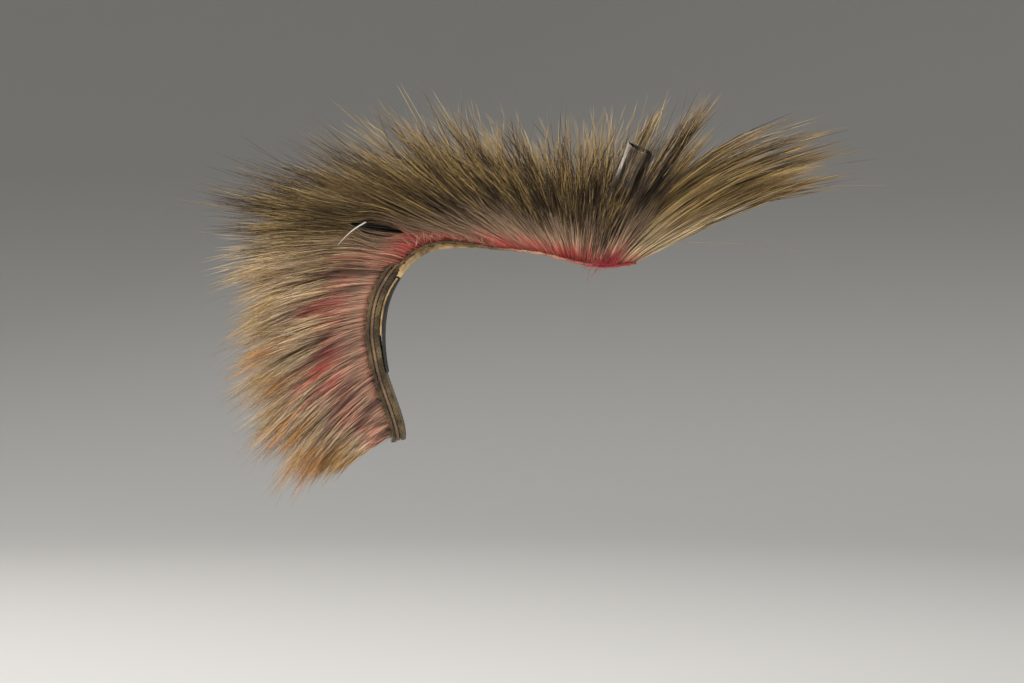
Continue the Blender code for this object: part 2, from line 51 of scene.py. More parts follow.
# Along the base from the front (0) to the nape (1): its heading in degrees down from
# straight back, then its width, sag and the strips under it as shares of their sizes
spineRows = (
    ("share", "heading"),
    (0.000, -8.5), (0.088, -10.0), (0.146, -10.5), (0.225, -6.5), (0.312, -2.2),
    (0.400, 0.8), (0.459, 10.0), (0.513, 33.0), (0.566, 53.0), (0.625, 65.0),
    (0.683, 80.0), (0.742, 90.0), (0.810, 99.0), (0.870, 107.0), (0.920, 109.0),
    (0.975, 101.0), (1.000, 97.0),
)
baseRows = (
    ("share", "width", "sag", "dark", "hide", "wall"),
    (0.00, 1.00, 0.90, 0.00, 0.00, 0.00), (0.11, 1.00, 1.00, 0.00, 0.00, 0.00),
    (0.22, 0.92, 0.62, 0.00, 0.00, 0.00), (0.32, 0.78, 0.45, 0.00, 0.00, 0.00),
    (0.38, 0.71, 0.36, 0.00, 0.90, 0.52), (0.45, 0.64, 0.28, 0.00, 1.00, 0.95),
    (0.56, 0.59, 0.20, 0.00, 1.00, 1.00), (0.60, 0.58, 0.18, 0.65, 1.00, 0.60),
    (0.65, 0.57, 0.16, 1.00, 1.00, 0.00), (0.72, 0.56, 0.14, 0.80, 1.00, 0.00),
    (0.80, 0.55, 0.12, 0.45, 0.00, 0.00), (0.90, 0.53, 0.12, 0.00, 0.00, 0.00),
    (1.00, 0.52, 0.12, 0.00, 0.00, 0.00),
)


def readTable(rows, name, share):
    # A smooth curve through one column: on each span a cubic whose end slopes are the
    # harmonic mean of the slopes on both sides, or 0 at a turn, so that it never overshoots.
    column = rows[0].index(name)
    numbers = np.array(rows[1:], dtype=float)
    at, value = numbers[:, 0], numbers[:, column]
    step = np.diff(at)
    slope = np.diff(value) / step
    bend = np.zeros(len(at))
    bend[0], bend[-1] = slope[0], slope[-1]
    same = slope[:-1] * slope[1:] > 0
    left, right = np.where(same, slope[:-1], 1.0), np.where(same, slope[1:], 1.0)
    bend[1:-1] = np.where(same, 2 * left * right / (left + right), 0.0)
    share = np.clip(share, at[0], at[-1])
    k = np.clip(np.searchsorted(at, share, side="right") - 1, 0, len(step) - 1)
    t = (share - at[k]) / step[k]
    return ((1 + 2 * t) * (1 - t) ** 2 * value[k] + t * (1 - t) ** 2 * step[k] * bend[k]
            + t * t * (3 - 2 * t) * value[k + 1] - t * t * (1 - t) * step[k] * bend[k + 1])


def makeSpine():
    # Steps of equal length in the direction of the heading, added up from the front.
    share = np.linspace(0.0, 1.0, 401)
    heading = np.radians(readTable(spineRows, "heading", (share[1:] + share[:-1]) / 2))
    step = base["length"] / (len(share) - 1)
    x = np.concatenate(([0.0], np.cumsum(-np.cos(heading) * step)))
    z = np.concatenate(([0.0], np.cumsum(-np.sin(heading) * step)))
    return (share, x - np.interp(base["crownShare"], share, x),
            z - np.interp(base["crownShare"], share, z))


spineShare, spineX, spineZ = makeSpine()


def directions(share):
    # Unit vectors along the base towards the nape, and off the head.
    heading = np.radians(readTable(spineRows, "heading", share))
    zero = np.zeros_like(heading)
    back = np.stack([-np.cos(heading), zero, -np.sin(heading)], axis=-1)
    up = np.stack([-np.sin(heading), zero, np.cos(heading)], axis=-1)
    return back, up


def basePoint(share, across, height):
    # The point of the spine, plus the distance across, plus the height off the head less
    # the sag, which grows with the square of the distance across.
    share, across, height = np.broadcast_arrays(share, across, height)
    back, up = directions(share)
    point = np.stack([np.interp(share, spineShare, spineX), across,
                      np.interp(share, spineShare, spineZ)], axis=-1)
    past = base["length"] * (share - np.clip(share, 0.0, 1.0))
    half = base["halfWidth"] * readTable(baseRows, "width", share)
    drop = base["edgeSag"] * readTable(baseRows, "sag", share) * (across / half) ** 2
    return point + back * past[..., None] + up * (height - drop)[..., None]


def makeOutline():
    # The edge laid flat: half the width, drawn in at both ends by quarter circles.
    angle = np.linspace(0.0, np.pi, 601)
    along = base["length"] * (1 - np.cos(angle)) / 2
    front = np.clip(1 - along / base["frontRounding"], 0.0, 1.0)
    nape = np.clip(1 - (base["length"] - along) / base["napeRounding"], 0.0, 1.0)
    half = base["halfWidth"] * readTable(baseRows, "width", along / base["length"])
    across = half * np.sqrt(1 - front**2) * np.sqrt(1 - nape**2)
    run = np.concatenate(([0.0], np.cumsum(np.hypot(np.diff(along), np.diff(across)))))
    return run / run[-1], along, across, run[-1]


edgeShare, edgeAlong, edgeAcross, edgeLength = makeOutline()


def onOutline(edge):
    # Along and across the flat outline at a share round it, in straight steps.
    return np.stack([np.interp(edge, edgeShare, edgeAlong), np.interp(edge, edgeShare, edgeAcross)])


def placeOnEdge(edge, inset):
    # A place round the edge moved in along its normal: share along the base, distance
    # across, and the outward direction as (back, sideways).
    step = 0.002
    edge = np.asarray(edge, dtype=float)
    before, after = np.maximum(edge - step, 0.0), np.minimum(edge + step, 1.0)
    along, across = onOutline(edge)
    runAlong, runAcross = onOutline(after) - onOutline(before)
    runAlong = runAlong * np.clip(np.minimum(edge, 1 - edge) / step, 0.0, 1.0)
    size = np.hypot(runAlong, runAcross)
    outBack, outSide = -runAcross / size, runAlong / size
    return (along - inset * outBack) / base["length"], across - inset * outSide, outBack, outSide


def matUnderside(share):
    # How far the mat is off the head: the thickness of both strips under it, plus two gaps
    # that grow in with them.
    dark, hide = readTable(baseRows, "dark", share), readTable(baseRows, "hide", share)
    gaps = 2 * base["gap"] * np.minimum(1.0, 2 * np.maximum(dark, hide))
    return dark * base["darkThickness"] + hide * base["hideThickness"] + gaps


def matTop(share):
    # The underside plus the mat's thickness.
    return matUnderside(share) + base["matThickness"]


def wallTop(share):
    # The upper rim of the hide's wall: its height times its share there.
    return base["hideWall"] * readTable(baseRows, "wall", share)


def edgeFrame(turn, inset, heightOf):
    # A place on the loop round the base: 0 front tip, 1 nape tip by the right side, 2 the
    # front tip again by the left side. Gives the point, outward and up.
    turn = np.mod(turn, 2.0)
    edge, side = 1 - np.abs(turn - 1), np.where(turn <= 1, -1.0, 1.0)
    share, across, outBack, outSide = placeOnEdge(edge, inset)
    back, up = directions(share)
    outward = back * outBack[..., None]
    outward[..., 1] += side * outSide
    return basePoint(share, side * across, heightOf(share)), outward, up


def unit(v):
    # Each vector divided by its length.
    return v / np.maximum(np.linalg.norm(v, axis=-1, keepdims=True), 1e-12)


def makeMesh(name, verts, faceSets, maps=None):
    # Points and faces of any number of corners, put in as whole arrays. A map gives a pair
    # for each corner of each face.
    corners = np.concatenate([np.asarray(f, dtype=np.int32).ravel() for f in faceSets])
    counts = np.concatenate([np.full(len(f), np.shape(f)[1]) for f in faceSets])
    starts = np.concatenate(([0], np.cumsum(counts)[:-1]))
    mesh = bpy.data.meshes.new(name)
    mesh.vertices.add(len(verts))
    mesh.vertices.foreach_set("co", np.asarray(verts, dtype=np.float32).ravel())
    mesh.loops.add(len(corners))
    mesh.loops.foreach_set("vertex_index", corners)
    mesh.polygons.add(len(counts))
    mesh.polygons.foreach_set("loop_start", starts.astype(np.int32))
    mesh.update(calc_edges=True)
    for mapName, pairs in (maps or {}).items():
        layer = mesh.uv_layers.new(name=mapName)
        layer.uv.foreach_set("vector", np.asarray(pairs, dtype=np.float32).ravel())
    return mesh


triangleCounts = {}


def placePiece(name, shape, material, replaced=(), smooth=None):
    # Makes the piece of its points, faces and maps, gives it its finish, lets it ride, hides
    # the solids that it stands for and counts its triangles.
    mesh = makeMesh(name, *shape)
    mesh.materials.append(material)
    if smooth is not None:
        mesh.shade_smooth()
        mesh.set_sharp_from_angle(angle=np.radians(smooth))
    piece = bpy.data.objects.new(name, mesh)
    bpy.context.scene.collection.objects.link(piece)
    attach(piece, "root")
    if replaced:
        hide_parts(*replaced)
    mesh.calc_loop_triangles()
    triangleCounts[name] = len(mesh.loop_triangles)
    print(f"{name}: {triangleCounts[name]} triangles")


def between(near, far):
    # Four-cornered faces from one row of points to the next, all the way round.
    return np.stack([near, np.roll(near, -1, axis=-1), np.roll(far, -1, axis=-1), far],
                    axis=-1).reshape(-1, 4)


def join(parts):
    # Several sets of points and faces as one.
    verts, faceSets, count = [], [], 0
    for points, sets in parts:
        verts.append(points)
        faceSets += [faces + count for faces in sets]
        count += len(points)
    return np.concatenate(verts), faceSets


def tubes(centres, guide, radius, corners, closed=False, pointed=False, lanes=None):
    # Tubes through rows of centres, all at once. Each ring is the centre plus the radius
    # times (cosine sideways + sine lift), where lift is the guide made square to the run and
    # sideways is lift crossed with the run. Open ones have caps, or a point at the far end.
    # lanes = (along, lane, width) puts each pointed tube in its own narrow strip of a map.
    count, rings = centres.shape[:2]
    if closed:
        run = unit(np.roll(centres, -1, axis=1) - np.roll(centres, 1, axis=1))
    else:
        run = unit(np.gradient(centres, axis=1))
    lift = unit(guide - run * np.sum(guide * run, axis=-1, keepdims=True))
    sideways = np.cross(lift, run)
    angle = 2 * np.pi * np.arange(corners) / corners
    size = np.broadcast_to(radius, (count, rings))[..., None, None]
    ring = size * (np.cos(angle)[:, None] * sideways[:, :, None, :]
                   + np.sin(angle)[:, None] * lift[:, :, None, :])
    verts = (centres[:, :, None, :] + ring).reshape(-1, 3)
    index = np.arange(count * rings * corners).reshape(count, rings, corners)
    if closed:
        return verts, [between(index, np.roll(index, -1, axis=1))]
    faceSets = [between(index[:, :-1], index[:, 1:]), index[:, 0, ::-1]]
    if not pointed:
        return verts, faceSets + [index[:, -1]]
    last = index[:, -1]
    tip = np.repeat(len(verts) + np.arange(count)[:, None], corners, axis=1)
    faceSets.append(np.stack([last, np.roll(last, -1, axis=1), tip], axis=-1).reshape(-1, 3))
    verts = np.concatenate([verts, centres[:, -1] + (centres[:, -1] - centres[:, -2]) * 0.8])
    if lanes is None:
        return verts, faceSets
    along, lane, width = lanes
    low = lane[:, None] + width * (np.arange(corners) / corners)
    high = low + width / corners
    shape = (count, rings - 1, corners)
    here, there = (np.broadcast_to(a[..., None], shape) for a in (along[:, :-1], along[:, 1:]))
    left, right = (np.broadcast_to(a[:, None], shape) for a in (low, high))
    end = np.broadcast_to(along[:, -1:], low.shape)
    places = (np.stack([here, left, here, right, there, right, there, left], axis=-1),
              np.stack([np.broadcast_to(along[:, :1] * 0.5, low.shape), low[:, ::-1]], axis=-1),
              np.stack([end, low, end, high, np.minimum(end + 0.04, 1.0), (low + high) / 2],
                       axis=-1))
    return verts, faceSets, {"OFBake": np.concatenate([a.reshape(-1, 2) for a in places])}


def fineStrands(rng, centres, thick, thinning=0.4):
    # Three-sided strands that end in a point, their flats turned at random.
    t = np.linspace(0.0, 1.0, centres.shape[1])
    return tubes(centres, rng.normal(size=(len(centres), 1, 3)), thick * (1 - thinning * t), 3,
                 pointed=True)


def paint(red, green, blue):
    # A colour picked on the 0 to 255 scale of a screen, made linear.
    value = np.array([red, green, blue]) / 255
    return (*np.where(value <= 0.04045, value / 12.92, ((value + 0.055) / 1.055) ** 2.4), 1.0)


def put(tree, kind, inputs=None, **settings):
    # A shader node with its settings, and its sockets linked or set. Colours are given on
    # the 0 to 255 scale.
    node = tree.nodes.new(kind)
    for key, value in settings.items():
        setattr(node, key, value)
    for key, value in (inputs or {}).items():
        if isinstance(value, bpy.types.NodeSocket):
            tree.links.new(value, node.inputs[key])
        else:
            colour = node.inputs[key].type == "RGBA"
            node.inputs[key].default_value = paint(*value) if colour else value
    return node


def sums(tree, operation, first, second=0.0, third=0.0):
    # One step of arithmetic.
    inputs = {0: first, 1: second, 2: third}
    return put(tree, "ShaderNodeMath", inputs, operation=operation).outputs[0]


def times(tree, first, second):
    return sums(tree, "MULTIPLY", first, second)


def spread(tree, value, low, high, toLow=0.0, toHigh=1.0):
    # The value's range low to high laid over toLow to toHigh, smooth at both ends.
    return put(tree, "ShaderNodeMapRange",
               {"Value": value, "From Min": low, "From Max": high, "To Min": toLow,
                "To Max": toHigh}, interpolation_type="SMOOTHSTEP").outputs["Result"]


def blendColours(tree, share, under, over, how="MIX"):
    # One colour over another, by a share.
    return put(tree, "ShaderNodeMix", {0: share, 6: under, 7: over}, data_type="RGBA",
               blend_type=how, clamp_factor=True).outputs[2]


def stainAndPaintedLight(tree, colour, overColour, mask, amount):
    # A colour over the colour, by the mask times the amount: stains, dyes and wear, and also
    # painted shade and a painted highlight on the hair.
    return blendColours(tree, times(tree, mask, amount), colour, overColour)


def noise(tree, spot, scale, detail, **more):
    # Cloudy noise at a spot, about 0.5.
    sockets = {"Vector": spot, "Scale": scale, "Detail": detail} | more
    return put(tree, "ShaderNodeTexNoise", sockets).outputs["Fac"]


def cellRims(tree, spot, scale):
    # How far a spot is from the rim of its cell.
    return put(tree, "ShaderNodeTexVoronoi", {"Vector": spot, "Scale": scale},
               feature="DISTANCE_TO_EDGE").outputs["Distance"]


def objectSpot(tree):
    return put(tree, "ShaderNodeTexCoord").outputs["Object"]


def mapPlaces(tree, name):
    # The two numbers of a piece's own map.
    own = put(tree, "ShaderNodeUVMap", uv_map=name)
    parts = put(tree, "ShaderNodeSeparateXYZ", {"Vector": own.outputs["UV"]})
    return parts.outputs["X"], parts.outputs["Y"]


def ramp(tree, value, stops):
    # A row of colours, each at its place from 0 to 1.
    node = put(tree, "ShaderNodeValToRGB", {"Fac": value})
    band = node.color_ramp
    while len(band.elements) < len(stops):
        band.elements.new(0.5)
    for element, (at, colour) in zip(band.elements, stops):
        element.position = at
        element.color = paint(*colour)
    return node.outputs["Color"]


def newGroup(name, inputs, outputs):
    # An empty effect with named sockets, to be filled and then placed in materials.
    group = bpy.data.node_groups.new(name, "ShaderNodeTree")
    for socketName, number in inputs.items():
        socket = group.interface.new_socket(name=socketName, in_out="INPUT",
                                            socket_type="NodeSocketFloat")
        socket.default_value = number
    for socketName in outputs:
        group.interface.new_socket(name=socketName, in_out="OUTPUT",
                                   socket_type="NodeSocketFloat")
    return (group, group.nodes.new("NodeGroupInput").outputs,
            group.nodes.new("NodeGroupOutput").inputs)


def giveOut(group, result, **sockets):
    # What an effect gives, by name.
    for key, value in sockets.items():
        group.links.new(value, result[key])
    return group


def place(tree, group, **values):
    # An effect put in a material, with its own numbers.
    node = tree.nodes.new("ShaderNodeGroup")
    node.node_tree = group
    for key, value in values.items():
        node.inputs[key].default_value = value
    return node.outputs


def newMaterial(name, roughness=0.6, metallic=0.0, specular=0.5, sheen=0.0):
    # A material with one shader and its plain values.
    material = bpy.data.materials.new(name)
    material.use_nodes = True
    tree = material.node_tree
    shader = tree.nodes["Principled BSDF"]
    for key, value in (("Roughness", roughness), ("Metallic", metallic),
                       ("Specular IOR Level", specular), ("Sheen Weight", sheen)):
        shader.inputs[key].default_value = value
    return material, tree, shader


def dress(tree, shader, colour, height, distance, strength=1.0):
    # The colour, and the height as a bump of so many metres.
    relief = put(tree, "ShaderNodeBump", {"Height": height, "Distance": distance,
                                          "Strength": strength})
    tree.links.new(colour, shader.inputs["Base Color"])
    tree.links.new(relief.outputs[0], shader.inputs["Normal"])


def makeStrandPattern():
    # Hair reads its own map: along the hair in x, its place round the edge in y. Reach is
    # how far along, drifting from lock to lock and from hair to hair; Lock is a slow noise
    # and Strand a fine one across the hairs.
    group, given, result = newGroup("strandPattern", {"Locks": 14.0, "Strands": 230.0,
                                                      "Drift": 0.16, "Seed": 0.0},
                                    ("Reach", "Lock", "Strand"))
    u, v = mapPlaces(group, "OFBake")

    def drawn(along, across, detail):
        # Noise so fine along the hair and across the hairs.
        spot = put(group, "ShaderNodeCombineXYZ", {"X": times(group, u, along),
                                                   "Y": times(group, v, across),
                                                   "Z": given["Seed"]})
        return noise(group, spot.outputs[0], 1.0, detail, Roughness=0.55)

    lock = spread(group, drawn(1.7, given["Locks"], 2.0), 0.3, 0.7)
    strand = spread(group, drawn(2.2, given["Strands"], 1.0), 0.27, 0.73)
    both = sums(group, "ADD", times(group, lock, 0.5), times(group, strand, 0.5))
    shift = times(group, sums(group, "SUBTRACT", both, 0.5), given["Drift"])
    ends = times(group, u, sums(group, "SUBTRACT", 1.0, u))
    reach = sums(group, "MULTIPLY_ADD", times(group, shift, 4.0), ends, u)
    return giveOut(group, result, Reach=reach, Lock=lock, Strand=strand)


def makeDyeAndShadePatch():
    # A spot in the same map, used for dye and, on the nape, for painted shade between clumps: 1
    # inside an oval, fading out, its rim broken by noise.
    group, given, result = newGroup("dyeAndShadePatch", {"Along": 0.4, "Edge": 0.5, "Length": 0.2,
                                                 "Width": 0.1, "Slant": 0.0}, ("Mask",))
    u, v = mapPlaces(group, "OFBake")
    off = sums(group, "SUBTRACT", u, given["Along"])
    slanted = sums(group, "MULTIPLY_ADD", off, given["Slant"], given["Edge"])
    a = sums(group, "DIVIDE", off, given["Length"])
    b = sums(group, "DIVIDE", sums(group, "SUBTRACT", v, slanted), given["Width"])
    far = sums(group, "SQRT", sums(group, "MULTIPLY_ADD", a, a, times(group, b, b)))
    spot = put(group, "ShaderNodeCombineXYZ", {"X": times(group, u, 3.0),
                                               "Y": times(group, v, 90.0)})
    rough = sums(group, "SUBTRACT", noise(group, spot.outputs[0], 1.0, 1.0), 0.5)
    far = sums(group, "MULTIPLY_ADD", rough, 1.1, far)
    return giveOut(group, result, Mask=spread(group, far, 0.35, 1.1, 1.0, 0.0))


def makeYarnGrain():
    # Fibres and dirt of yarn on Object coordinates: Shade for the colour, Rise for a bump.
    group, given, result = newGroup("yarnGrain", {"Fibre": 1400.0, "Dirt": 90.0},
                                    ("Shade", "Rise", "Dust"))
    spot = objectSpot(group)
    fine = noise(group, spot, given["Fibre"], 3.0, Distortion=1.2)
    slow = noise(group, spot, given["Dirt"], 2.0)
    shade = sums(group, "ADD", times(group, fine, 0.7), times(group, slow, 0.5))
    return giveOut(group, result, Shade=spread(group, shade, 0.4, 0.8, 0.55, 1.3), Rise=fine,
                   Dust=spread(group, slow, 0.5, 0.68))


def makeHideGrain():
    # Pores and creases of hide: small cells sunk between ridges, with slow stains.
    group, given, result = newGroup("hideGrain", {"Pores": 1700.0, "Stains": 70.0},
                                    ("Rise", "Stain", "Scuff"))
    spot = objectSpot(group)
    pores = spread(group, cellRims(group, spot, given["Pores"]), 0.0, 0.3)
    creases = noise(group, spot, 420.0, 4.0, Distortion=0.8)
    stains = noise(group, spot, given["Stains"], 4.0)
    rise = sums(group, "ADD", times(group, pores, 0.5), times(group, creases, 0.8))
    return giveOut(group, result, Rise=rise, Stain=spread(group, stains, 0.38, 0.66),
                   Scuff=spread(group, creases, 0.52, 0.7))


# The metal feather socket: its rim stands at rimPlace (x, z). Hairs that pass in front of it
# within the window, (low, high) along the tube from the rim and (behind, ahead) across it,
# may end as short as stumps, a share of their length.
tube = {"length": 0.076, "rim": 0.0091, "foot": 0.0080, "wall": 0.0006, "lean": 22.0,
        "share": 0.078, "dent": 0.00050, "rimDip": 0.0030, "rimPlace": (0.0938, 0.0658),
        "window": (-0.042, 0.018, -0.0115, 0.0090), "stumps": (0.20, 0.50),
        "corners": 72, "rings": 64}


def makeTarnish():
    # Old sheet metal: dark blooms, facets of painted light and shade, and pale scratches, these
    # two drawn out along the tube, and creases for the bump.
    group, given, result = newGroup("tarnish", {"Blooms": 110.0, "Creases": 190.0},
                                    ("Bloom", "Facet", "Scratch", "Rise"))
    spot = objectSpot(group)
    upright = put(group, "ShaderNodeMapping",
                  {"Vector": spot, "Rotation": (0.0, -np.radians(tube["lean"]), 0.0)}).outputs[0]

    def streaks(across, along, detail):
        # Noise so fine across the tube and along it.
        drawn = put(group, "ShaderNodeMapping", {"Vector": upright,
                                                 "Scale": (across, across, along)})
        return noise(group, drawn.outputs[0], 1.0, detail)

    blooms = noise(group, spot, given["Blooms"], 5.0, Roughness=0.6)
    folds = cellRims(group, spot, given["Creases"])
    return giveOut(group, result, Bloom=spread(group, blooms, 0.42, 0.62),
                   Facet=spread(group, streaks(210.0, 34.0, 1.0), 0.42, 0.58),
                   Scratch=spread(group, streaks(1300.0, 70.0, 2.0), 0.58, 0.72),
                   Rise=spread(group, folds, 0.0, 0.25))


strandPattern, dyeAndShadePatch, yarnGrain = makeStrandPattern(), makeDyeAndShadePatch(), makeYarnGrain()
hideGrain, tarnish = makeHideGrain(), makeTarnish()
print("shader effects built")

# Hair by the share round the edge (0 front, 1 nape tip), as in the solids: its angle from
# straight forward at root, middle and tip, its length as a share, the inner row's inset as
# a share, and its outward lean
guardRows = (
    ("edge", "root", "middle", "tip", "length", "inset", "lean"),
    (0.000, 31, 17, 4, 0.80, 0.70, 5), (0.040, 43, 24, 13, 0.92, 0.70, 5),
    (0.076, 54, 33, 6, 0.92, 0.72, 5), (0.084, 59, 54, 50, 0.62, 0.74, 5),
    (0.105, 72, 68, 64, 0.54, 0.78, 5), (0.125, 78, 72, 70, 0.52, 0.82, 5),
    (0.145, 84, 78, 76, 0.50, 0.85, 6),
    (0.160, 91, 88, 89, 0.455, 0.88, 6), (0.186, 103, 105, 112, 0.46, 0.92, 6),
    (0.220, 118, 119, 125, 0.50, 1.00, 6), (0.260, 131, 127, 123, 0.60, 1.00, 6),
    (0.300, 142, 137, 130, 0.71, 1.00, 6), (0.350, 149, 150, 141, 0.76, 1.00, 6),
    (0.390, 154, 160, 149, 0.81, 1.00, 6), (0.440, 158, 166, 156, 0.88, 1.00, 6),
    (0.480, 161, 171, 164, 0.88, 1.00, 6), (0.520, 163, 176, 178, 0.78, 1.00, 6),
    (0.570, 166, 185, 196, 0.67, 0.98, 6), (0.610, 174, 193, 208, 0.60, 0.96, 6),
    (0.667, 184, 198, 211, 0.58, 0.95, 6), (0.725, 194, 210, 214, 0.59, 0.95, 6),
    (0.780, 202, 219, 229, 0.57, 0.95, 6), (0.840, 210, 227, 235, 0.52, 0.95, 6),
    (0.890, 209, 222, 235, 0.41, 0.95, 6), (0.940, 202, 213, 224, 0.30, 0.90, 5),
    (1.000, 196, 204, 214, 0.25, 0.85, 5),
)
fringeRows = (
    ("edge", "root", "middle", "tip", "length", "lean"),
    (0.000, 27, 24, 14, 0.68, 12), (0.040, 38, 27, 16, 0.76, 12),
    (0.076, 50, 34, 10, 0.76, 12), (0.084, 57, 53, 48, 0.55, 12),
    (0.105, 68, 64, 61, 0.52, 12), (0.125, 76, 72, 70, 0.49, 12),
    (0.145, 82, 78, 76, 0.45, 13),
    (0.160, 90, 88, 90, 0.42, 13), (0.186, 106, 108, 114, 0.42, 14),
    (0.220, 124, 127, 132, 0.48, 14), (0.260, 138, 136, 132, 0.60, 14),
    (0.300, 147, 143, 136, 0.67, 15), (0.350, 152, 150, 140, 0.71, 15),
    (0.390, 155, 157, 150, 0.73, 16), (0.440, 157, 164, 156, 0.80, 16),
    (0.490, 158, 175, 174, 0.77, 16), (0.525, 160, 180, 188, 0.71, 16),
    (0.572, 163, 186, 203, 0.66, 16), (0.610, 174, 194, 211, 0.61, 16),
    (0.667, 186, 199, 212, 0.59, 17), (0.725, 195, 210, 215, 0.59, 17),
    (0.780, 203, 220, 231, 0.59, 17), (0.840, 212, 229, 237, 0.54, 17),
    (0.890, 210, 223, 239, 0.43, 17), (0.940, 204, 216, 229, 0.32, 16),
    (1.000, 196, 205, 216, 0.25, 14),
)
hair = {
    "length": 0.190, "guardInset": 0.0098, "fringeInset": 0.0060, "fringeFoot": 0.0016,
    "fringeOutset": 0.0024, "fringeTurnsIn": (0.545, 0.588), "bundle": 0.0024,
    "leftShare": 0.60, "lane": 0.0012,
    # how far along the hair each effect sets in
    "gatherOver": (0.25, 0.95), "drawOver": (0.03, 0.85), "fanOver": (0.0, 0.45),
    "swayOver": (0.03, 0.7), "liftOver": (0.05, 0.6),
    # the calm of hairs in a tight point, and what is different on stray and on curly hairs
    "calm": 0.35, "aloof": 0.15, "strayLoose": 2.5, "strayLong": 1.06, "curlyLoose": 2.2,
    "curlyLong": (0.55, 1.15), "curlyWave": 1.3, "curlyPitch": 2.6, "pitch": (0.8, 2.2),
    "fineThick": 0.72, "tightThick": 1.15, "unequal": (0.75, 1.2), "taper": 0.45,
    # the shares of mess, curl and unevenness that roots, wisps and single hairs take, and how
    # far locks and hairs lean
    "rootMess": 0.35, "wispMess": 0.9, "hairMess": 0.7, "wispCurl": 0.6, "hairCurl": 0.8,
    "wispUneven": 0.7, "faded": 0.7, "pullFrom": 0.6, "leanSpread": 0.04, "leanMost": 0.09,
}

# The dark slit on the right, where the back hair parts: place, half length, half height, the
# share of hairs that cross it and how far these are held, and the dark hair behind it, put there as
# painted shade of the deep gap
parting = {"x": -0.0805, "z": 0.0117, "long": 0.0190, "high": 0.0060, "tilt": -6.0,
           "crossing": 0.14, "crossHeld": 0.42, "innerHairs": 320, "innerThick": 0.00034,
           "innerAcross": (-0.013, -0.004), "innerFrom": 1.5, "innerRun": 3.4,
           "innerShift": 0.003, "innerHigh": 1.9, "innerLift": 0.001}

gaussAt, gaussWeight = np.polynomial.legendre.leggauss(4)


def smooth(low, high, value):
    # 0 below low, 1 above high, and 3 t^2 - 2 t^3 between.
    t = np.clip((value - low) / (high - low), 0.0, 1.0)
    return t * t * (3 - 2 * t)


def hairSurface(rows, side, edge, reach, turns, long):
    # The root plus the mean direction so far times the length so far. The direction's angle
    # follows a parabola through its root, middle and tip values, plus a turn that grows
    # along the hair and a curl that grows with the fourth power. Gives the point, the
    # direction, and outward made square to it. The outer row stands outside the edge on the
    # crown, and on the mat, inside the cords, at the nape.
    if rows is guardRows:
        within, depth = 1.0, hair["guardInset"] * readTable(rows, "inset", edge)
    else:
        within = smooth(*hair["fringeTurnsIn"], edge)
        depth = within * hair["fringeInset"] - (1 - within) * hair["fringeOutset"]
    share, across, outBack, outSide = placeOnEdge(edge, depth)
    height = (within * (matTop(share) + base["gap"])
              + (1 - within) * (wallTop(share) + hair["fringeFoot"]))
    root = basePoint(share, side * across, height)
    at = reach[..., None] * np.append((gaussAt + 1) / 2, 1.0)
    first, middle, last = (readTable(rows, name, edge)[..., None]
                           for name in ("root", "middle", "tip"))
    angle = np.radians(first * (1 - at) * (1 - 2 * at) + middle * 4 * at * (1 - at)
                       + last * at * (2 * at - 1))
    angle = angle + turns["root"][:, None, None] + turns["tip"][:, None, None] * at
    angle = angle + turns["curl"][:, None, None] * (at / long[:, None, None]) ** 4
    lean = np.sin(np.radians(readTable(rows, "lean", edge))) * outSide
    lean = np.clip(lean[..., None] + turns["lean"][:, None, None] * at, -0.7, 0.7)
    level = np.sqrt(1 - lean**2)
    ways = np.stack([np.cos(angle) * level, side * lean, np.sin(angle) * level], axis=-1)
    mean = (gaussWeight[:, None] * ways[..., :-1, :]).sum(axis=-2) / 2
    length = hair["length"] * readTable(rows, "length", edge) * reach
    way = ways[..., -1, :]
    back, _ = directions(share)
    outward = back * outBack[..., None]
    outward[..., 1] += side * outSide
    free = unit(outward - way * np.sum(outward * way, axis=-1, keepdims=True))
    return root + mean * length[..., None], way, free


def openParting(points, held):
    # Each hair keeps to the side of the slit that it mostly lies on. Inside the eye shape,
    # of half height h, a distance below three h becomes h plus two thirds of itself, and a
    # hair that would cross is held at the rim. The push fades out at both ends.
    turn = np.radians(parting["tilt"])
    dx, dz = points[..., 0] - parting["x"], points[..., 2] - parting["z"]
    along = dx * np.cos(turn) + dz * np.sin(turn)
    rise = -dx * np.sin(turn) + dz * np.cos(turn)
    near = np.exp(-(along / parting["long"]) ** 2) + 1e-9
    hand = np.sign(np.sum(rise * near, axis=1) / np.sum(near, axis=1))[:, None]
    eye = np.clip(1 - (along / parting["long"]) ** 2, 0.0, 1.0)
    high = parting["high"] * eye
    own = hand * rise
    push = np.where(own < 0, (high - own) * smooth(0.0, 0.4, eye),
                    np.maximum(high - own / 3, 0.0))
    push = np.where(own < -0.012, 0.0, push) * hand * held[:, None]
    points = points.copy()
    points[..., 0] -= push * np.sin(turn)
    points[..., 2] += push * np.cos(turn)
    return points


def hidesSocket(points):
    # True for a hair that passes in front of the upper part of the metal tube.
    lean = np.radians(tube["lean"])
    both = np.concatenate([points, (points[:, 1:] + points[:, :-1]) / 2], axis=1)[..., ::2]
    both = both - np.array(tube["rimPlace"])
    along = both[..., 0] * np.sin(lean) + both[..., 1] * np.cos(lean)
    off = both[..., 0] * np.cos(lean) - both[..., 1] * np.sin(lean)
    low, high, behind, ahead = tube["window"]
    return ((along > low) & (along < high) & (off > behind) & (off < ahead)).any(axis=1)


def bankDepth(look, reach):
    # Half the depth of a bank of hair, thin at the foot and full further along.
    return look["spread"] * (look["foot"] + (1 - look["foot"]) * smooth(*hair["fanOver"], reach))


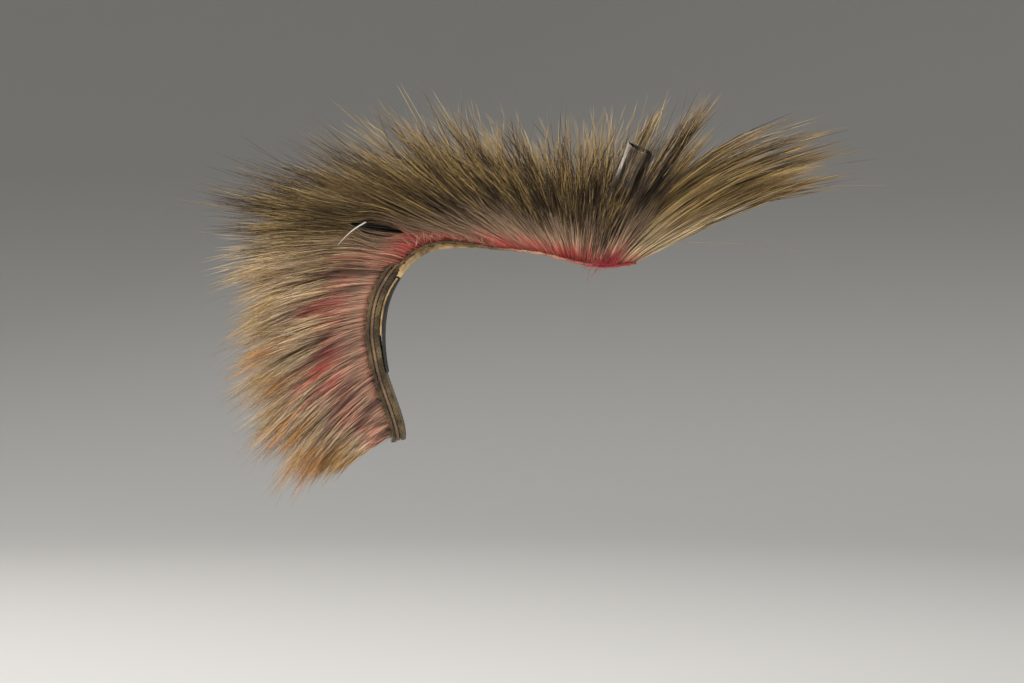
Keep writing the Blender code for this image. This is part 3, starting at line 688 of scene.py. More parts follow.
def growHair(side, look, seed):
    # Hairs stand in a bank between two places round the edge and a depth across it. Along
    # their length they draw together, first into wisps and then into locks, and each lock
    # and hair has its own length, turn and wave. Some are short and curly, at the foot.
    rng = np.random.default_rng(seed)
    locks, layers = look["locks"], look["layers"]
    share = hair["leftShare"] if side > 0 else 1.0
    n = round(look["hairs"] * share)
    start, end = look["from"], look["to"]
    at = ((np.arange(n) + rng.random(n)) / n) ** look["crowd"]
    rootEdge = start + (end - start) * at
    depth = rng.uniform(look["inner"], 1.0, n)
    layer = np.clip((depth + 1) / 2 * layers, 0, layers - 1).astype(int)
    centre = (np.arange(locks) + 0.5 + rng.uniform(-0.4, 0.4, (layers, locks))) / locks
    spikes = len(look["spikes"])
    centre[:, :spikes] = look["spikes"]
    away = np.abs(centre[layer] - at[:, None])
    away[:, :spikes] *= 0.5
    nearest = np.argmin(away, axis=1)
    tight = nearest < spikes
    calm = np.where(tight, hair["calm"], 1.0)
    lock = layer * locks + nearest
    lockAt, lockDepth = centre[layer, nearest], (layer + 0.5) / layers * 2 - 1
    many = layers * locks
    under = rng.random(n) < look["under"]
    stray = ~under & (rng.random(n) < look["strays"])
    pull = rng.uniform(hair["pullFrom"], 1.0, many)[lock] * look["pull"]
    pull = np.where(under | stray, hair["aloof"], np.where(tight, look["tight"], pull))
    lockLong = 1 - (np.where(tight, look["tightUneven"], look["uneven"])
                    * rng.random(many)[lock])
    lift = rng.normal(0.0, look["lift"], many)[lock]
    wisp = rng.integers(look["wisps"], size=n)
    wispAt = rng.uniform(-0.5, 0.5, (many, look["wisps"]))[lock, wisp] / locks
    wispDepth = rng.uniform(-1, 1, (many, look["wisps"]))[lock, wisp] / layers
    wispTurn = rng.normal(0.0, 1.0, (many, look["wisps"]))[lock, wisp]
    wispLong = 1 - (hair["wispUneven"] * look["uneven"]
                    * rng.random((many, look["wisps"]))[lock, wisp])
    mess = np.radians(look["mess"])
    loose = np.where(under, hair["curlyLoose"], np.where(stray, hair["strayLoose"], calm))
    turns = {
        "root": rng.normal(0.0, hair["rootMess"] * mess, n) * loose,
        "tip": ((rng.normal(0.0, mess, many)[lock] + hair["wispMess"] * mess * wispTurn) * calm
                + rng.normal(0.0, hair["hairMess"] * mess, n) * loose),
        "curl": (hair["wispCurl"] * rng.normal(size=(many, look["wisps"]))[lock, wisp] * calm
                 + rng.normal(0.0, hair["hairCurl"], n) * loose) * np.radians(look["curl"]),
        "lean": np.clip(rng.normal(0.0, hair["leanSpread"], many)[lock]
                        + rng.normal(0.0, hair["leanSpread"], n),
                        -hair["leanMost"], hair["leanMost"]) * look["loose"],
    }
    shortest = np.where(tight, look["tightShort"], look["short"])
    shorter = shortest + (1 - shortest) * rng.random(n) ** look["thin"]
    shorter = shorter * (1 - hair["faded"] * rng.random(n) * smooth(*look["fade"], rootEdge))
    long = look["long"] * lockLong * wispLong * shorter * np.where(stray, hair["strayLong"], 1.0)
    long = np.where(under, look["underLong"] * rng.uniform(*hair["curlyLong"], n), long)
    depth = np.where(under, rng.uniform(*look["underDepth"], n), depth)
    t = np.linspace(0.0, 0.9, look["rings"])
    step = hair["bundle"] / edgeLength
    bundled = ((np.floor(rootEdge / step) + 0.5) * step - rootEdge)[:, None] * look["bundle"]
    phase = rng.uniform(0, 2 * np.pi, (2, n, 1))
    pitch = rng.uniform(*hair["pitch"], (2, n, 1))
    waves = look["wave"] * np.where(under, hair["curlyWave"], calm)[:, None]
    pitch = pitch * np.where(under, hair["curlyPitch"], 1.0)[:, None]

    def grow(long):
        # A hair's place is the middle of its lock plus its own distance from it, which gives
        # way to the wisp's by gather and shrinks by pull. The place gives the hair's curve,
        # and the depth times the bank's, the lift and two sine waves move it aside.
        reach = long[:, None] * t
        gather = look["gather"] * smooth(*hair["gatherOver"], reach)
        draw = 1 - pull[:, None] * smooth(*hair["drawOver"], reach)
        atNow, depthNow = (
            middle[:, None] + ((own - middle)[:, None] * (1 - gather)
                               + aside[:, None] * gather) * draw
            for own, middle, aside in ((at, lockAt, wispAt), (depth, lockDepth, wispDepth)))
        edge = start + (end - start) * atNow + bundled * np.exp(-(reach / 0.05) ** 2)
        points, way, free = hairSurface(look["rows"], side, np.clip(edge, 0.001, 0.999),
                                        reach, turns, long)
        across = np.cross(way, free)
        sway = (waves * smooth(*hair["swayOver"], reach)
                * np.sin(2 * np.pi * pitch * reach + phase))
        out = (bankDepth(look, reach) * depthNow + sway[1]
               + lift[:, None] * smooth(*hair["liftOver"], reach))
        return points + free * out[..., None] + across * sway[0][..., None], reach

    points, reach = grow(long)
    if side < 0 and look["clear"]:
        cut = hidesSocket(points) & (rng.random(n) < look["clear"])
        stump = rng.uniform(*tube["stumps"], n)
        points, reach = grow(np.where(cut, np.minimum(long, stump), long))
    if side < 0:
        held = np.where(rng.random(n) < parting["crossing"], parting["crossHeld"], 1.0)
        points = openParting(points, held)
    width = (look["thick"] / np.sqrt(share) * rng.uniform(*hair["unequal"], n)
             * np.where(stray | under, hair["fineThick"],
                        np.where(tight, hair["tightThick"], 1.0)))
    radius = width[:, None] / 2 * (0.8 + 0.35 * np.sin(np.pi * t)) * (1 - hair["taper"] * t**3)
    guide = rng.normal(size=(n, 1, 3))
    lane = np.clip(at + rng.normal(0.0, 0.006, n), 0.0, 0.998)
    along = np.where(under[:, None], reach, t / 0.96)
    return tubes(points, guide, radius, 3, pointed=True, lanes=(along, lane, hair["lane"]))


crimson, rose, dusky = (184, 48, 58), (222, 158, 132), (194, 156, 130)
buff, pale, gold = (206, 178, 134), (224, 200, 158), (190, 156, 92)
amber, olive, umber = (206, 150, 84), (122, 98, 58), (54, 40, 26)
straw, brown, taupe = (152, 125, 76), (90, 71, 43), (160, 134, 108)
coral, honey, wine = (206, 94, 84), (178, 140, 80), (146, 58, 62)
rust, plum, cream = (212, 140, 64), (80, 54, 46), (218, 192, 162)

# What a user would change on each bank of hair. It stands between two places round the
# edge, in layers across it, in locks and in the wisps of each lock. pull draws a lock
# together and gather a wisp. uneven shortens some locks; short and thin say how short the
# short hairs are and how many; long is the longest; fade shortens them from one place to
# another. mess turns hairs aside and loose outward, wave and curl bend them, lift moves
# locks outward and bundle draws roots together. strays is the share of stray hairs and under
# that of the curly ones at the foot, with their length and depth. spikes are the places
# where the hair stands in a tight point, with a pull, short and uneven of its own. crowd
# over 1 moves roots to the start, inner lets them stand further in, spread is half the depth
# of the bank and foot its share at the roots. clear is the share of hairs that end before
# the metal tube. Stops run from root to tip, streaks are dark and of the colour shade, partly
# the hair's own colour and partly painted shade between locks, patches are (along, edge,
# length, width, slant, colour), the narrow plum and umber ones on the nape painted shade
# between clumps and the others dye, tips take the ends of some locks.
plainLook = {
    "rings": 7, "layers": 2, "wisps": 7, "gather": 0.6, "uneven": 0.2, "short": 0.5,
    "mess": 3.0, "loose": 1.0, "wave": 0.0008, "curl": 6.0, "long": 1.10, "thin": 0.7,
    "fade": (2.0, 3.0), "lift": 0.0006, "bundle": 0.3, "strays": 0.03, "under": 0.0,
    "underLong": 0.3, "underDepth": (-1.1, 1.4), "spikes": (), "tight": 0.94,
    "tightShort": 0.7, "tightUneven": 0.0, "crowd": 1.0, "inner": -1.0, "foot": 0.36,
    "clear": 0.0, "shade": umber, "patches": (),
}
guardLook = plainLook | {"rows": guardRows, "spread": 0.0034, "thick": 0.00042,
                         "streaks": 0.85}
napeGuardLook = guardLook | {
    "rings": 6, "pull": 0.7, "wisps": 5, "short": 0.55, "mess": 3.2, "wave": 0.0009,
    "spread": 0.0032, "thick": 0.00036, "streaks": 0.75,
}
fringeLook = plainLook | {
    "rows": fringeRows, "spread": 0.0028, "thick": 0.00034, "thin": 0.9, "inner": -1.5,
    "foot": 0.48, "underDepth": (-1.7, 1.4),
}
napeFringeLook = plainLook | {
    "rows": fringeRows, "spread": 0.0028, "thick": 0.00032, "pull": 0.82, "uneven": 0.24,
    "short": 0.6, "lift": 0.0011, "under": 0.12, "streaks": 0.74, "shade": plum,
}

hairLooks = {
    "guard_front": guardLook | {
        "from": 0.000, "to": 0.080, "hairs": 720, "locks": 7, "pull": 0.86, "gather": 0.7,
        "wisps": 5, "uneven": 0.22, "mess": 1.9, "wave": 0.0010, "curl": 4.5, "long": 1.15,
        "thin": 1.1, "strays": 0.025, "thick": 0.00043, "clear": 0.88, "tight": 0.9,
        "tightShort": 0.48, "tightUneven": 0.2,
        "spikes": (0.0, 0.20, 0.42, 0.62, 0.80, 0.97),
        "stops": ((0.0, brown), (0.16, brown), (0.45, olive), (0.66, straw), (0.84, brown),
                  (1.0, straw)), "tips": (honey, 0.5)},
    "guard_crown": guardLook | {
        "from": 0.080, "to": 0.335, "hairs": 1550, "locks": 15, "layers": 3, "pull": 0.5,
        "gather": 0.55, "mess": 5.0, "loose": 1.2, "wave": 0.0021, "curl": 20.0,
        "long": 1.19, "thin": 1.25, "strays": 0.04, "clear": 0.88, "crowd": 1.25,
        "spikes": (0.022, 0.100),
        "stops": ((0.0, brown), (0.3, umber), (0.74, umber), (0.86, brown), (0.96, olive),
                  (1.0, straw)), "tips": (gold, 0.8)},
    "guard_back": guardLook | {
        "from": 0.335, "to": 0.600, "hairs": 1400, "rings": 8, "locks": 9, "layers": 3,
        "pull": 0.68, "gather": 0.72, "short": 0.4, "mess": 2.6, "wave": 0.0013,
        "long": 1.12, "thin": 0.8,
        "stops": ((0.0, umber), (0.3, umber), (0.56, brown), (0.74, olive), (0.88, brown),
                  (1.0, umber)),
        "patches": ((0.85, 1.0, 0.6, 0.30, 0.0, buff),), "tips": (olive, 0.4)},
    "guard_nape": napeGuardLook | {
        "from": 0.580, "to": 0.760, "hairs": 420, "locks": 8, "tips": (honey, 0.6),
        "stops": ((0.0, dusky), (0.4, brown), (0.7, straw), (1.0, buff))},
    "guard_nape_end": napeGuardLook | {
        "from": 0.760, "to": 0.905, "hairs": 280, "locks": 6, "tips": (amber, 0.6),
        "stops": ((0.0, dusky), (0.4, brown), (0.7, straw), (1.0, honey))},
    "fringe_front": fringeLook | {
        "from": 0.000, "to": 0.080, "hairs": 700, "locks": 6, "pull": 0.8, "gather": 0.7,
        "wisps": 5, "uneven": 0.24, "mess": 1.8, "long": 1.12, "strays": 0.02, "clear": 0.9,
        "under": 0.12, "underLong": 0.24, "tight": 0.86, "tightShort": 0.5,
        "tightUneven": 0.2, "spikes": (0.0, 0.20, 0.42, 0.62, 0.80),
        "stops": ((0.0, crimson), (0.05, rose), (0.16, pale), (0.42, buff), (0.60, straw),
                  (0.8, olive), (1.0, straw)), "streaks": 0.7,
        "patches": ((0.3, 0.0, 0.7, 0.7, 0.0, pale),), "tips": (honey, 0.4)},
    "fringe_crown": fringeLook | {
        "from": 0.080, "to": 0.335, "hairs": 2050, "locks": 16, "pull": 0.45, "gather": 0.5,
        "uneven": 0.24, "short": 0.45, "mess": 4.6, "wave": 0.0013, "curl": 10.0,
        "long": 1.15, "clear": 0.88, "under": 0.44, "underLong": 0.42, "crowd": 1.15,
        "spikes": (0.022, 0.100),
        "stops": ((0.0, rose), (0.08, rose), (0.20, dusky), (0.30, taupe), (0.42, taupe),
                  (0.52, brown), (0.66, umber), (0.9, umber), (1.0, olive)), "streaks": 0.65,
        "patches": ((0.0, 1.0, 0.22, 0.30, 0.0, coral), (0.0, 0.62, 0.17, 0.34, 0.0, coral),
                    (0.02, 0.35, 0.15, 0.24, 0.0, crimson),
                    (0.0, 0.06, 0.14, 0.12, 0.0, crimson), (0.62, 0.14, 0.4, 0.16, 0.0, umber)),
        "tips": (gold, 0.7)},
    "fringe_back": fringeLook | {
        "from": 0.335, "to": 0.592, "hairs": 1750, "rings": 9, "locks": 12, "pull": 0.5,
        "gather": 0.55, "short": 0.4, "wave": 0.0010, "long": 1.05, "fade": (0.545, 0.592),
        "strays": 0.02, "under": 0.34, "underLong": 0.36,
        "stops": ((0.0, rose), (0.12, dusky), (0.24, taupe), (0.42, taupe), (0.55, olive),
                  (0.68, brown), (0.85, brown), (1.0, straw)), "streaks": 0.6, "shade": brown,
        "patches": ((0.0, 0.62, 0.24, 0.36, 0.0, coral), (0.0, 0.56, 0.19, 0.46, 0.0, coral),
                    (0.0, 0.34, 0.19, 0.46, 0.0, coral), (0.0, 0.30, 0.14, 0.5, 0.0, crimson),
                    (0.0, 0.10, 0.20, 0.4, 0.0, coral), (0.66, 1.0, 0.65, 0.30, 0.0, buff),
                    (0.5, 0.88, 0.4, 0.2, 0.0, taupe), (0.25, 0.93, 0.3, 0.16, 0.0, rose)),
        "tips": (straw, 0.5)},
    "fringe_nape": napeFringeLook | {
        "from": 0.560, "to": 0.770, "hairs": 1800, "locks": 9, "long": 1.18,
        "stops": ((0.0, rose), (0.2, dusky), (0.40, rose), (0.54, buff), (0.78, cream),
                  (0.92, buff), (1.0, straw)),
        # Painted shade: the narrow plum and umber patches darken the hair between clumps; the
        # coral, wine, crimson and rust ones are dye.
        "patches": ((0.0, 0.02, 0.16, 0.07, 0.0, coral), (0.30, 0.17, 0.36, 0.09, 0.1, plum),
                    (0.36, 0.34, 0.30, 0.03, 0.1, umber), (0.42, 0.76, 0.34, 0.04, 0.1, plum),
                    (0.50, 0.44, 0.30, 0.10, 0.1, wine), (0.46, 0.66, 0.26, 0.05, 0.1, plum),
                    (0.54, 0.85, 0.30, 0.10, 0.12, wine),
                    (0.52, 0.88, 0.20, 0.05, 0.12, crimson),
                    (1.0, 0.62, 0.24, 0.06, 0.0, rust), (1.0, 0.82, 0.26, 0.07, 0.0, rust)),
        "tips": (honey, 0.5)},
    "fringe_nape_end": napeFringeLook | {
        "from": 0.770, "to": 0.988, "hairs": 1400, "locks": 10, "long": 1.16,
        "stops": ((0.0, rose), (0.2, dusky), (0.45, rose), (0.62, cream), (0.8, buff),
                  (1.0, honey)),
        # Painted shade: the narrow plum and umber patches darken the hair between clumps; the wine
        # and rust ones are dye.
        "patches": ((0.50, 0.02, 0.26, 0.05, 0.0, wine), (0.40, 0.22, 0.3, 0.06, 0.0, plum),
                    (0.45, 0.12, 0.3, 0.03, 0.0, plum), (0.5, 0.33, 0.3, 0.03, 0.0, umber),
                    (0.2, 0.42, 0.3, 0.05, 0.1, plum), (0.2, 0.78, 0.32, 0.07, 0.1, plum),
                    (0.5, 0.50, 0.3, 0.06, 0.0, plum), (1.0, 0.08, 0.26, 0.08, 0.0, rust),
                    (0.98, 0.34, 0.3, 0.09, 0.0, rust), (1.0, 0.56, 0.24, 0.07, 0.0, rust)),
        "tips": (amber, 0.7)},
}


def hairMaterial(name, look, seed):
    # Root-to-tip colours, dark streaks from lock to lock, partly the hair's own colour and partly
    # painted shade between locks, dyed patches and patches of painted shade that take some hairs
    # more than others, warm ends on some locks, a painted pale highlight on the brightest hairs,
    # and each hair a little lighter or darker.
    material, tree, shader = newMaterial(name, roughness=0.5, specular=0.35)
    pattern = place(tree, strandPattern, Locks=3.0 * look["locks"], Seed=seed)
    reach, lock, strand = pattern["Reach"], pattern["Lock"], pattern["Strand"]
    tipColour, amount = look["tips"]
    colour = ramp(tree, reach, look["stops"])
    # Painted shade, partly the hair's own colour: where the lock noise is low, between locks, the
    # hair darkens towards the colour shade.
    colour = stainAndPaintedLight(tree, colour, look["shade"], spread(tree, lock, 0.15, 0.6, 1.0, 0.0),
                   spread(tree, strand, 0.2, 0.9, look["streaks"], 0.1))
    colour = stainAndPaintedLight(tree, colour, tipColour, spread(tree, reach, 0.72, 0.96, 0.0, amount),
                   spread(tree, lock, 0.35, 0.75))
    taken = spread(tree, strand, 0.25, 0.7, 0.12)
    for along, edge, length, width, slant, overColour in look["patches"]:
        patch = place(tree, dyeAndShadePatch, Along=along, Edge=edge, Length=length, Width=width,
                      Slant=slant)
        colour = stainAndPaintedLight(tree, colour, overColour, patch["Mask"], taken)
    # Painted highlight: pale gold laid as a sheen on the brightest hairs past the middle of their
    # length.
    colour = stainAndPaintedLight(tree, colour, (204, 172, 110), spread(tree, strand, 0.8, 1.0, 0.0, 0.5),
                   spread(tree, reach, 0.4, 0.85))
    lightness = spread(tree, strand, 0.0, 1.0, 0.42, 1.52)
    tinted = put(tree, "ShaderNodeHueSaturation", {"Color": colour, "Value": lightness})
    tree.links.new(tinted.outputs[0], shader.inputs["Base Color"])
    tree.links.new(spread(tree, strand, 0.0, 1.0, 0.6, 0.42), shader.inputs["Roughness"])
    return material


for number, (name, look) in enumerate(hairLooks.items()):
    finish = hairMaterial(f"{name}_hair", look, float(number))
    for side, hand in ((-1, "right"), (1, "left")):
        placePiece(f"{name}_{hand}_hairs", growHair(side, look, 10 * number + side + 1),
                   finish, (f"{name}_{hand}",))


def fibreMaterial(name, light, dark, roughness, fibre, dust, bump=0.0002):
    # Yarn: fibres light and dark, dust in the hollows, a soft sheen.
    material, tree, shader = newMaterial(name, roughness=roughness, specular=0.25, sheen=0.25)
    grain = place(tree, yarnGrain, Fibre=fibre)
    colour = blendColours(tree, spread(tree, grain["Shade"], 0.55, 1.3), dark, light)
    colour = stainAndPaintedLight(tree, colour, dust, grain["Dust"], 0.35)
    dress(tree, shader, colour, grain["Rise"], bump, 0.7)
    return material


def innerHair():
    # Dark hair behind the slit, between the two sides, along the slit's own direction: painted
    # shade, a dark thing put where the deep gap lies in shadow.
    rng = np.random.default_rng(3)
    n, t = parting["innerHairs"], np.linspace(0.0, 1.0, 6)
    turn = np.radians(parting["tilt"])
    along = (parting["long"] * (parting["innerFrom"] - parting["innerRun"] * t)
             + rng.normal(0.0, parting["innerShift"], (n, 1)))
    rise = (rng.uniform(-parting["innerHigh"], parting["innerHigh"], (n, 1)) * parting["high"]
            * (1 - 0.25 * t) + parting["innerLift"] * t)
    centres = np.stack([parting["x"] + along * np.cos(turn) - rise * np.sin(turn),
                        rng.uniform(*parting["innerAcross"], (n, 1)) + 0 * along,
                        parting["z"] + along * np.sin(turn) + rise * np.cos(turn)], axis=-1)
    return fineStrands(rng, centres, parting["innerThick"])


# Painted shade: nearly black hair that darkens the slit.
slitShadeFinish = fibreMaterial("slit_shade_hair", (58, 43, 29), (42, 30, 19), 0.7, 1200.0,
                            (60, 44, 30), bump=0.0)
placePiece("slit_shade_hairs", innerHair(), slitShadeFinish)
print("hair grown")

# The mat of braided coils, sewn side by side
mat = {"braidWidth": 0.0032, "pitch": 0.0034, "relief": 0.0006, "rows": 120, "columns": 44,
       "plait": 0.0062, "coilDepth": 0.94, "plaitDepth": 0.16, "plaitSlant": 2.2,
       "plaitShift": 2.1, "underDepth": 0.7}


def makeMat():
    # Two sheets over the flat outline. The relief is that of coils sewn side by side: for a
    # distance d from the edge it is the root of 1 - c^2, c running -1 to 1 over each coil,
    # and each coil is plaited, so it rises and sinks along its way.
    start = mat["braidWidth"] + base["gap"]
    spots = 0.5 - 0.5 * np.cos(np.pi * np.linspace(0.055, 0.955, mat["rows"]))
    share, half, _, _ = placeOnEdge(spots, start)
    across = np.sin(np.linspace(-np.pi / 2, np.pi / 2, mat["columns"]))[None, :] * half[:, None]
    share = np.broadcast_to(share[:, None], across.shape)
    along = share * base["length"]
    rim = np.linspace(0.0, 1.0, 260)
    rimShare, rimHalf, _, _ = placeOnEdge(rim, start)
    rimAlong = np.concatenate([rimShare, rimShare]) * base["length"]
    rimAcross = np.concatenate([rimHalf, -rimHalf])
    away = np.hypot(along[..., None] - rimAlong, across[..., None] - rimAcross)
    nearest = np.argmin(away, axis=-1)
    d = np.take_along_axis(away, nearest[..., None], axis=-1)[..., 0]
    run = np.concatenate([rim, 2 - rim])[nearest] * edgeLength
    c = 2 * np.mod(d / mat["pitch"], 1.0) - 1
    turn = 2 * np.pi * run / mat["plait"] + np.floor(d / mat["pitch"]) * mat["plaitShift"]
    coil = (np.sqrt(np.clip(1 - mat["coilDepth"] * c * c, 0.0, 1.0))
            - mat["plaitDepth"] * (1 + np.sin(turn + mat["plaitSlant"] * c)))
    sunk = mat["relief"] * (1 - np.clip(coil, 0.0, 1.0))
    top = basePoint(share, across, matTop(share) - sunk)
    low = basePoint(share, across, matUnderside(share) + mat["underDepth"] * sunk)

    def strip(near, far):
        # Four-cornered faces between two rows of points, open at the ends.
        return np.stack([near[..., :-1], near[..., 1:], far[..., 1:], far[..., :-1]],
                        axis=-1).reshape(-1, 4)

    t, u = np.arange(2 * share.size).reshape(2, *share.shape)
    faceSets = [strip(t[:-1], t[1:])[:, ::-1], strip(u[:-1], u[1:]),
                strip(t[:, 0], u[:, 0])[:, ::-1], strip(t[:, -1], u[:, -1]),
                strip(t[0], u[0]), strip(t[-1], u[-1])[:, ::-1]]
    places = np.stack([d / mat["pitch"], run / mat["plait"]], axis=-1).reshape(-1, 2)
    places = np.concatenate([places, places])[np.concatenate([f.ravel() for f in faceSets])]
    verts = np.concatenate([top.reshape(-1, 3), low.reshape(-1, 3)])
    return verts, faceSets, {"coils": places}


def matMaterial(name, light, dark):
    # Coils of plaited yarn from the mat's own map: x counts the coils in from the edge, y the
    # plaits along them. The plait's strands are slanted waves, mirrored in each half coil. The
    # colour follows the height, darker down in the grooves: painted shade.
    material, tree, shader = newMaterial(name, roughness=0.85, specular=0.2, sheen=0.04)
    coils, plaits = mapPlaces(tree, "coils")
    coil = sums(tree, "FRACT", coils)
    off = sums(tree, "ABSOLUTE", sums(tree, "MULTIPLY_ADD", coil, 2.0, -1.0))
    slant = sums(tree, "MULTIPLY_ADD", off, 0.45, plaits)
    strand = sums(tree, "SINE", times(tree, slant, 4 * np.pi))
    ridge = sums(tree, "SUBTRACT", 1.0, sums(tree, "POWER", off, 3.0))
    grain = place(tree, yarnGrain, Fibre=1300.0, Dirt=60.0)
    height = sums(tree, "MULTIPLY_ADD", strand, 0.22, ridge)
    height = sums(tree, "MULTIPLY_ADD", grain["Rise"], 0.35, height)
    # Painted shade: the colour runs from dark down in the grooves between coils and plait strands
    # to light on their tops, by the height.
    share = spread(tree, times(tree, height, grain["Shade"]), 0.25, 1.5)
    dress(tree, shader, blendColours(tree, share, dark, light), height, 0.0008)
    return material


matFinish = matMaterial("mat_fibre", (158, 140, 106), (58, 46, 30))
placePiece("woven_mat", makeMat(), matFinish, ("base_mat",), smooth=60)

# The outermost coil
edgeBraid = {"strand": 0.00086, "plait": 0.0074, "rings": 10, "fullness": 1.12}


def plaitedLoop():
    # Three strands round the whole edge. Strand k swings up and down as sin(a) and in and
    # out as sin(2a), with a = turns so far plus a third of a turn for each k.
    turns = round(2 * edgeLength / edgeBraid["plait"])
    step = np.arange(turns * edgeBraid["rings"]) / (turns * edgeBraid["rings"])
    middle, outward, up = edgeFrame(
        2 * step, mat["braidWidth"] / 2, lambda s: matUnderside(s) + base["matThickness"] / 2)
    a = 2 * np.pi * (step * turns)[None, :] + (np.arange(3) * 2 * np.pi / 3)[:, None]
    swing = (base["matThickness"] / 2 - edgeBraid["strand"]) * np.sin(a)
    sink = (mat["braidWidth"] / 2 - edgeBraid["strand"]) * np.sin(2 * a)
    centres = middle + up * swing[..., None] + outward * sink[..., None]
    return tubes(centres, outward, edgeBraid["strand"] * edgeBraid["fullness"], 6, closed=True)


braidFinish = fibreMaterial("braid_fibre", (100, 82, 50), (40, 31, 19), 0.85, 1500.0,
                            (132, 116, 84))
placePiece("plaited_edge", plaitedLoop(), braidFinish, ("edge_braid",),
           smooth=180)

# The cord round the nape, from the share round the edge at start
cord = {"diameter": 0.0022, "inset": 0.36, "twist": 0.0034, "start": 0.557, "plyOff": 0.235,
        "plyThick": 0.27, "uneven": 0.06}


def napeRun(inset, rise, step):
    # Evenly spaced places on the path round the nape, from the right side to the left.
    long = 2 * (1 - cord["start"]) * edgeLength
    turn = np.linspace(cord["start"], 2 - cord["start"], int(long / step))
    point, outward, up = edgeFrame(turn, inset, lambda s: matTop(s) + rise)
    return point, outward, up, turn, long


def twoPly():
    # Two plies on opposite sides of the path, turning once for each twist.
    rise = base["gap"] + cord["diameter"] / 2
    point, outward, up, turn, long = napeRun(mat["braidWidth"] * cord["inset"], rise,
                                             cord["twist"] / 9)
    a = np.linspace(0.0, 2 * np.pi * long / cord["twist"], len(turn))
    a = a[None, :] + np.array([0.0, np.pi])[:, None]
    off = cord["diameter"] * cord["plyOff"]
    centres = point + off * (np.cos(a)[..., None] * outward + np.sin(a)[..., None] * up)
    radius = cord["diameter"] * cord["plyThick"] * (1 + cord["uneven"] * np.sin(7.3 * turn * 60))
    return tubes(centres, up, radius, 6)


cordFinish = fibreMaterial("cord_fibre", (148, 118, 92), (88, 64, 48), 0.8, 1700.0,
                           (140, 118, 88))
placePiece("twisted_nape_cord", twoPly(), cordFinish, ("nape_cord",),
           smooth=180)

# The stitched row above the cord
stitches = {"diameter": 0.0025, "inset": 0.40, "taper": 0.010, "wrap": 0.00085, "thread": 0.00030,
            "tooth": 0.0021, "toothLength": 0.0042, "toothThick": 0.00034, "fuzz": 1000,
            "fuzzThick": 0.00007, "fuzzLong": (0.0006, 0.0022), "core": 0.34, "unlike": (0.6, 1.15)}


def woundThread(point, outward, up, a, far, thick):
    # A thread wound round a path at the angle a and so far from it.
    off = far[:, None] * (np.cos(a)[:, None] * outward + np.sin(a)[:, None] * up)
    return tubes((point + off)[None], off[None], thick, 4)


def slantStitches(foot, inset, heightOf, limits, shape):
    # Stitches that lean left and right in turn from their feet. The shape gives how far one
    # rises off the base and how far it stands out, along its length.
    t = np.linspace(0.0, 1.0, 6)
    lean = np.where(np.arange(len(foot)) % 2 == 0, 1.0, -1.0) * stitches["tooth"] * 0.8
    spot = np.clip(foot[:, None] + lean[:, None] * t / edgeLength, *limits)
    point, outward, up = edgeFrame(spot, inset, heightOf)
    rise, out = shape(t)
    centres = point + (up * rise[..., None] + outward * out[..., None])
    return tubes(centres, outward, stitches["toothThick"] * (1.1 - 0.6 * t), 5, pointed=True)


def stitchedRow():
    # A core, a thread wound round it, slanted stitches that reach on to the hair in turn
    # left and right, and loose fibres.
    rng = np.random.default_rng(5)
    rise = 2 * base["gap"] + cord["diameter"] + stitches["diameter"] / 2
    inset = mat["braidWidth"] * stitches["inset"]
    core = stitches["diameter"] * stitches["core"]

    def full(turn):
        # Full along the row, thinner at both ends.
        inside = np.minimum(turn - cord["start"], 2 - cord["start"] - turn) * edgeLength
        return 0.55 + 0.45 * smooth(0.0, stitches["taper"], inside)

    point, outward, up, turn, long = napeRun(inset, rise, 0.0016)
    parts = [tubes(point[None], up[None], core * full(turn)[None], 8)]
    point, outward, up, turn, long = napeRun(inset, rise, stitches["wrap"] / 8)
    a = np.linspace(0.0, 2 * np.pi * long / stitches["wrap"], len(turn))
    unevenly = (1 + 0.16 * np.sin(a / 9.3) * np.sin(a / 31.0)) * full(turn)
    parts.append(woundThread(point, outward, up, a, core * unevenly, stitches["thread"]))
    many = int(long / stitches["tooth"])
    foot = np.linspace(cord["start"], 2 - cord["start"], many) + rng.normal(0.0, 0.0006, many)
    reach = stitches["toothLength"] * rng.uniform(*stitches["unlike"], many)[:, None]
    parts.append(slantStitches(
        foot, inset, lambda s: matTop(s) + rise, (cord["start"], 2 - cord["start"]),
        lambda t: (reach * t * 0.62, core * (0.9 + 0.5 * np.sin(np.pi * t) - 1.5 * t) + 0.0006
                   + reach * t * 0.35)))
    many = stitches["fuzz"]
    foot = rng.uniform(cord["start"] + 0.004, 1.996 - cord["start"], many)[:, None]
    turnTo = rng.uniform(-0.4 * np.pi, 0.85 * np.pi, many)[:, None, None]
    t = np.linspace(0.0, 1.0, 6)[::2]
    point, outward, up = edgeFrame(foot + rng.normal(0.0, 0.006, (many, 1)) * t, inset,
                                   lambda s: matTop(s) + rise)
    way = np.cos(turnTo) * outward + np.sin(turnTo) * up
    far = core + rng.uniform(*stitches["fuzzLong"], (many, 1)) * t
    parts.append(fineStrands(rng, point + way * far[..., None], stitches["fuzzThick"], 0.0))
    return join(parts)


rowFinish = fibreMaterial("stitch_fibre", (122, 102, 66), (54, 42, 26), 0.85, 1800.0,
                          (146, 124, 88))
placePiece("stitched_nape_row", stitchedRow(), rowFinish, ("nape_stitching",),
           smooth=180)

# The tied root ends, from the front tip back to end, and the red threads over them
ties = {"diameter": 0.0018, "knot": 0.0021, "end": 0.572, "thread": 0.00022,
        "stitchedFrom": 0.47, "stitchLength": 0.0030, "redThreads": 150, "redThick": 0.00016,
        "redAt": (0.112, 0.012), "redWithin": (0.085, 0.15), "redLong": (0.004, 0.011),
        "redTurn": (1.25, 0.5), "redInset": -0.0052, "redBow": 0.0012, "wander": 0.0002,
        "wanderPitch": 0.0093}


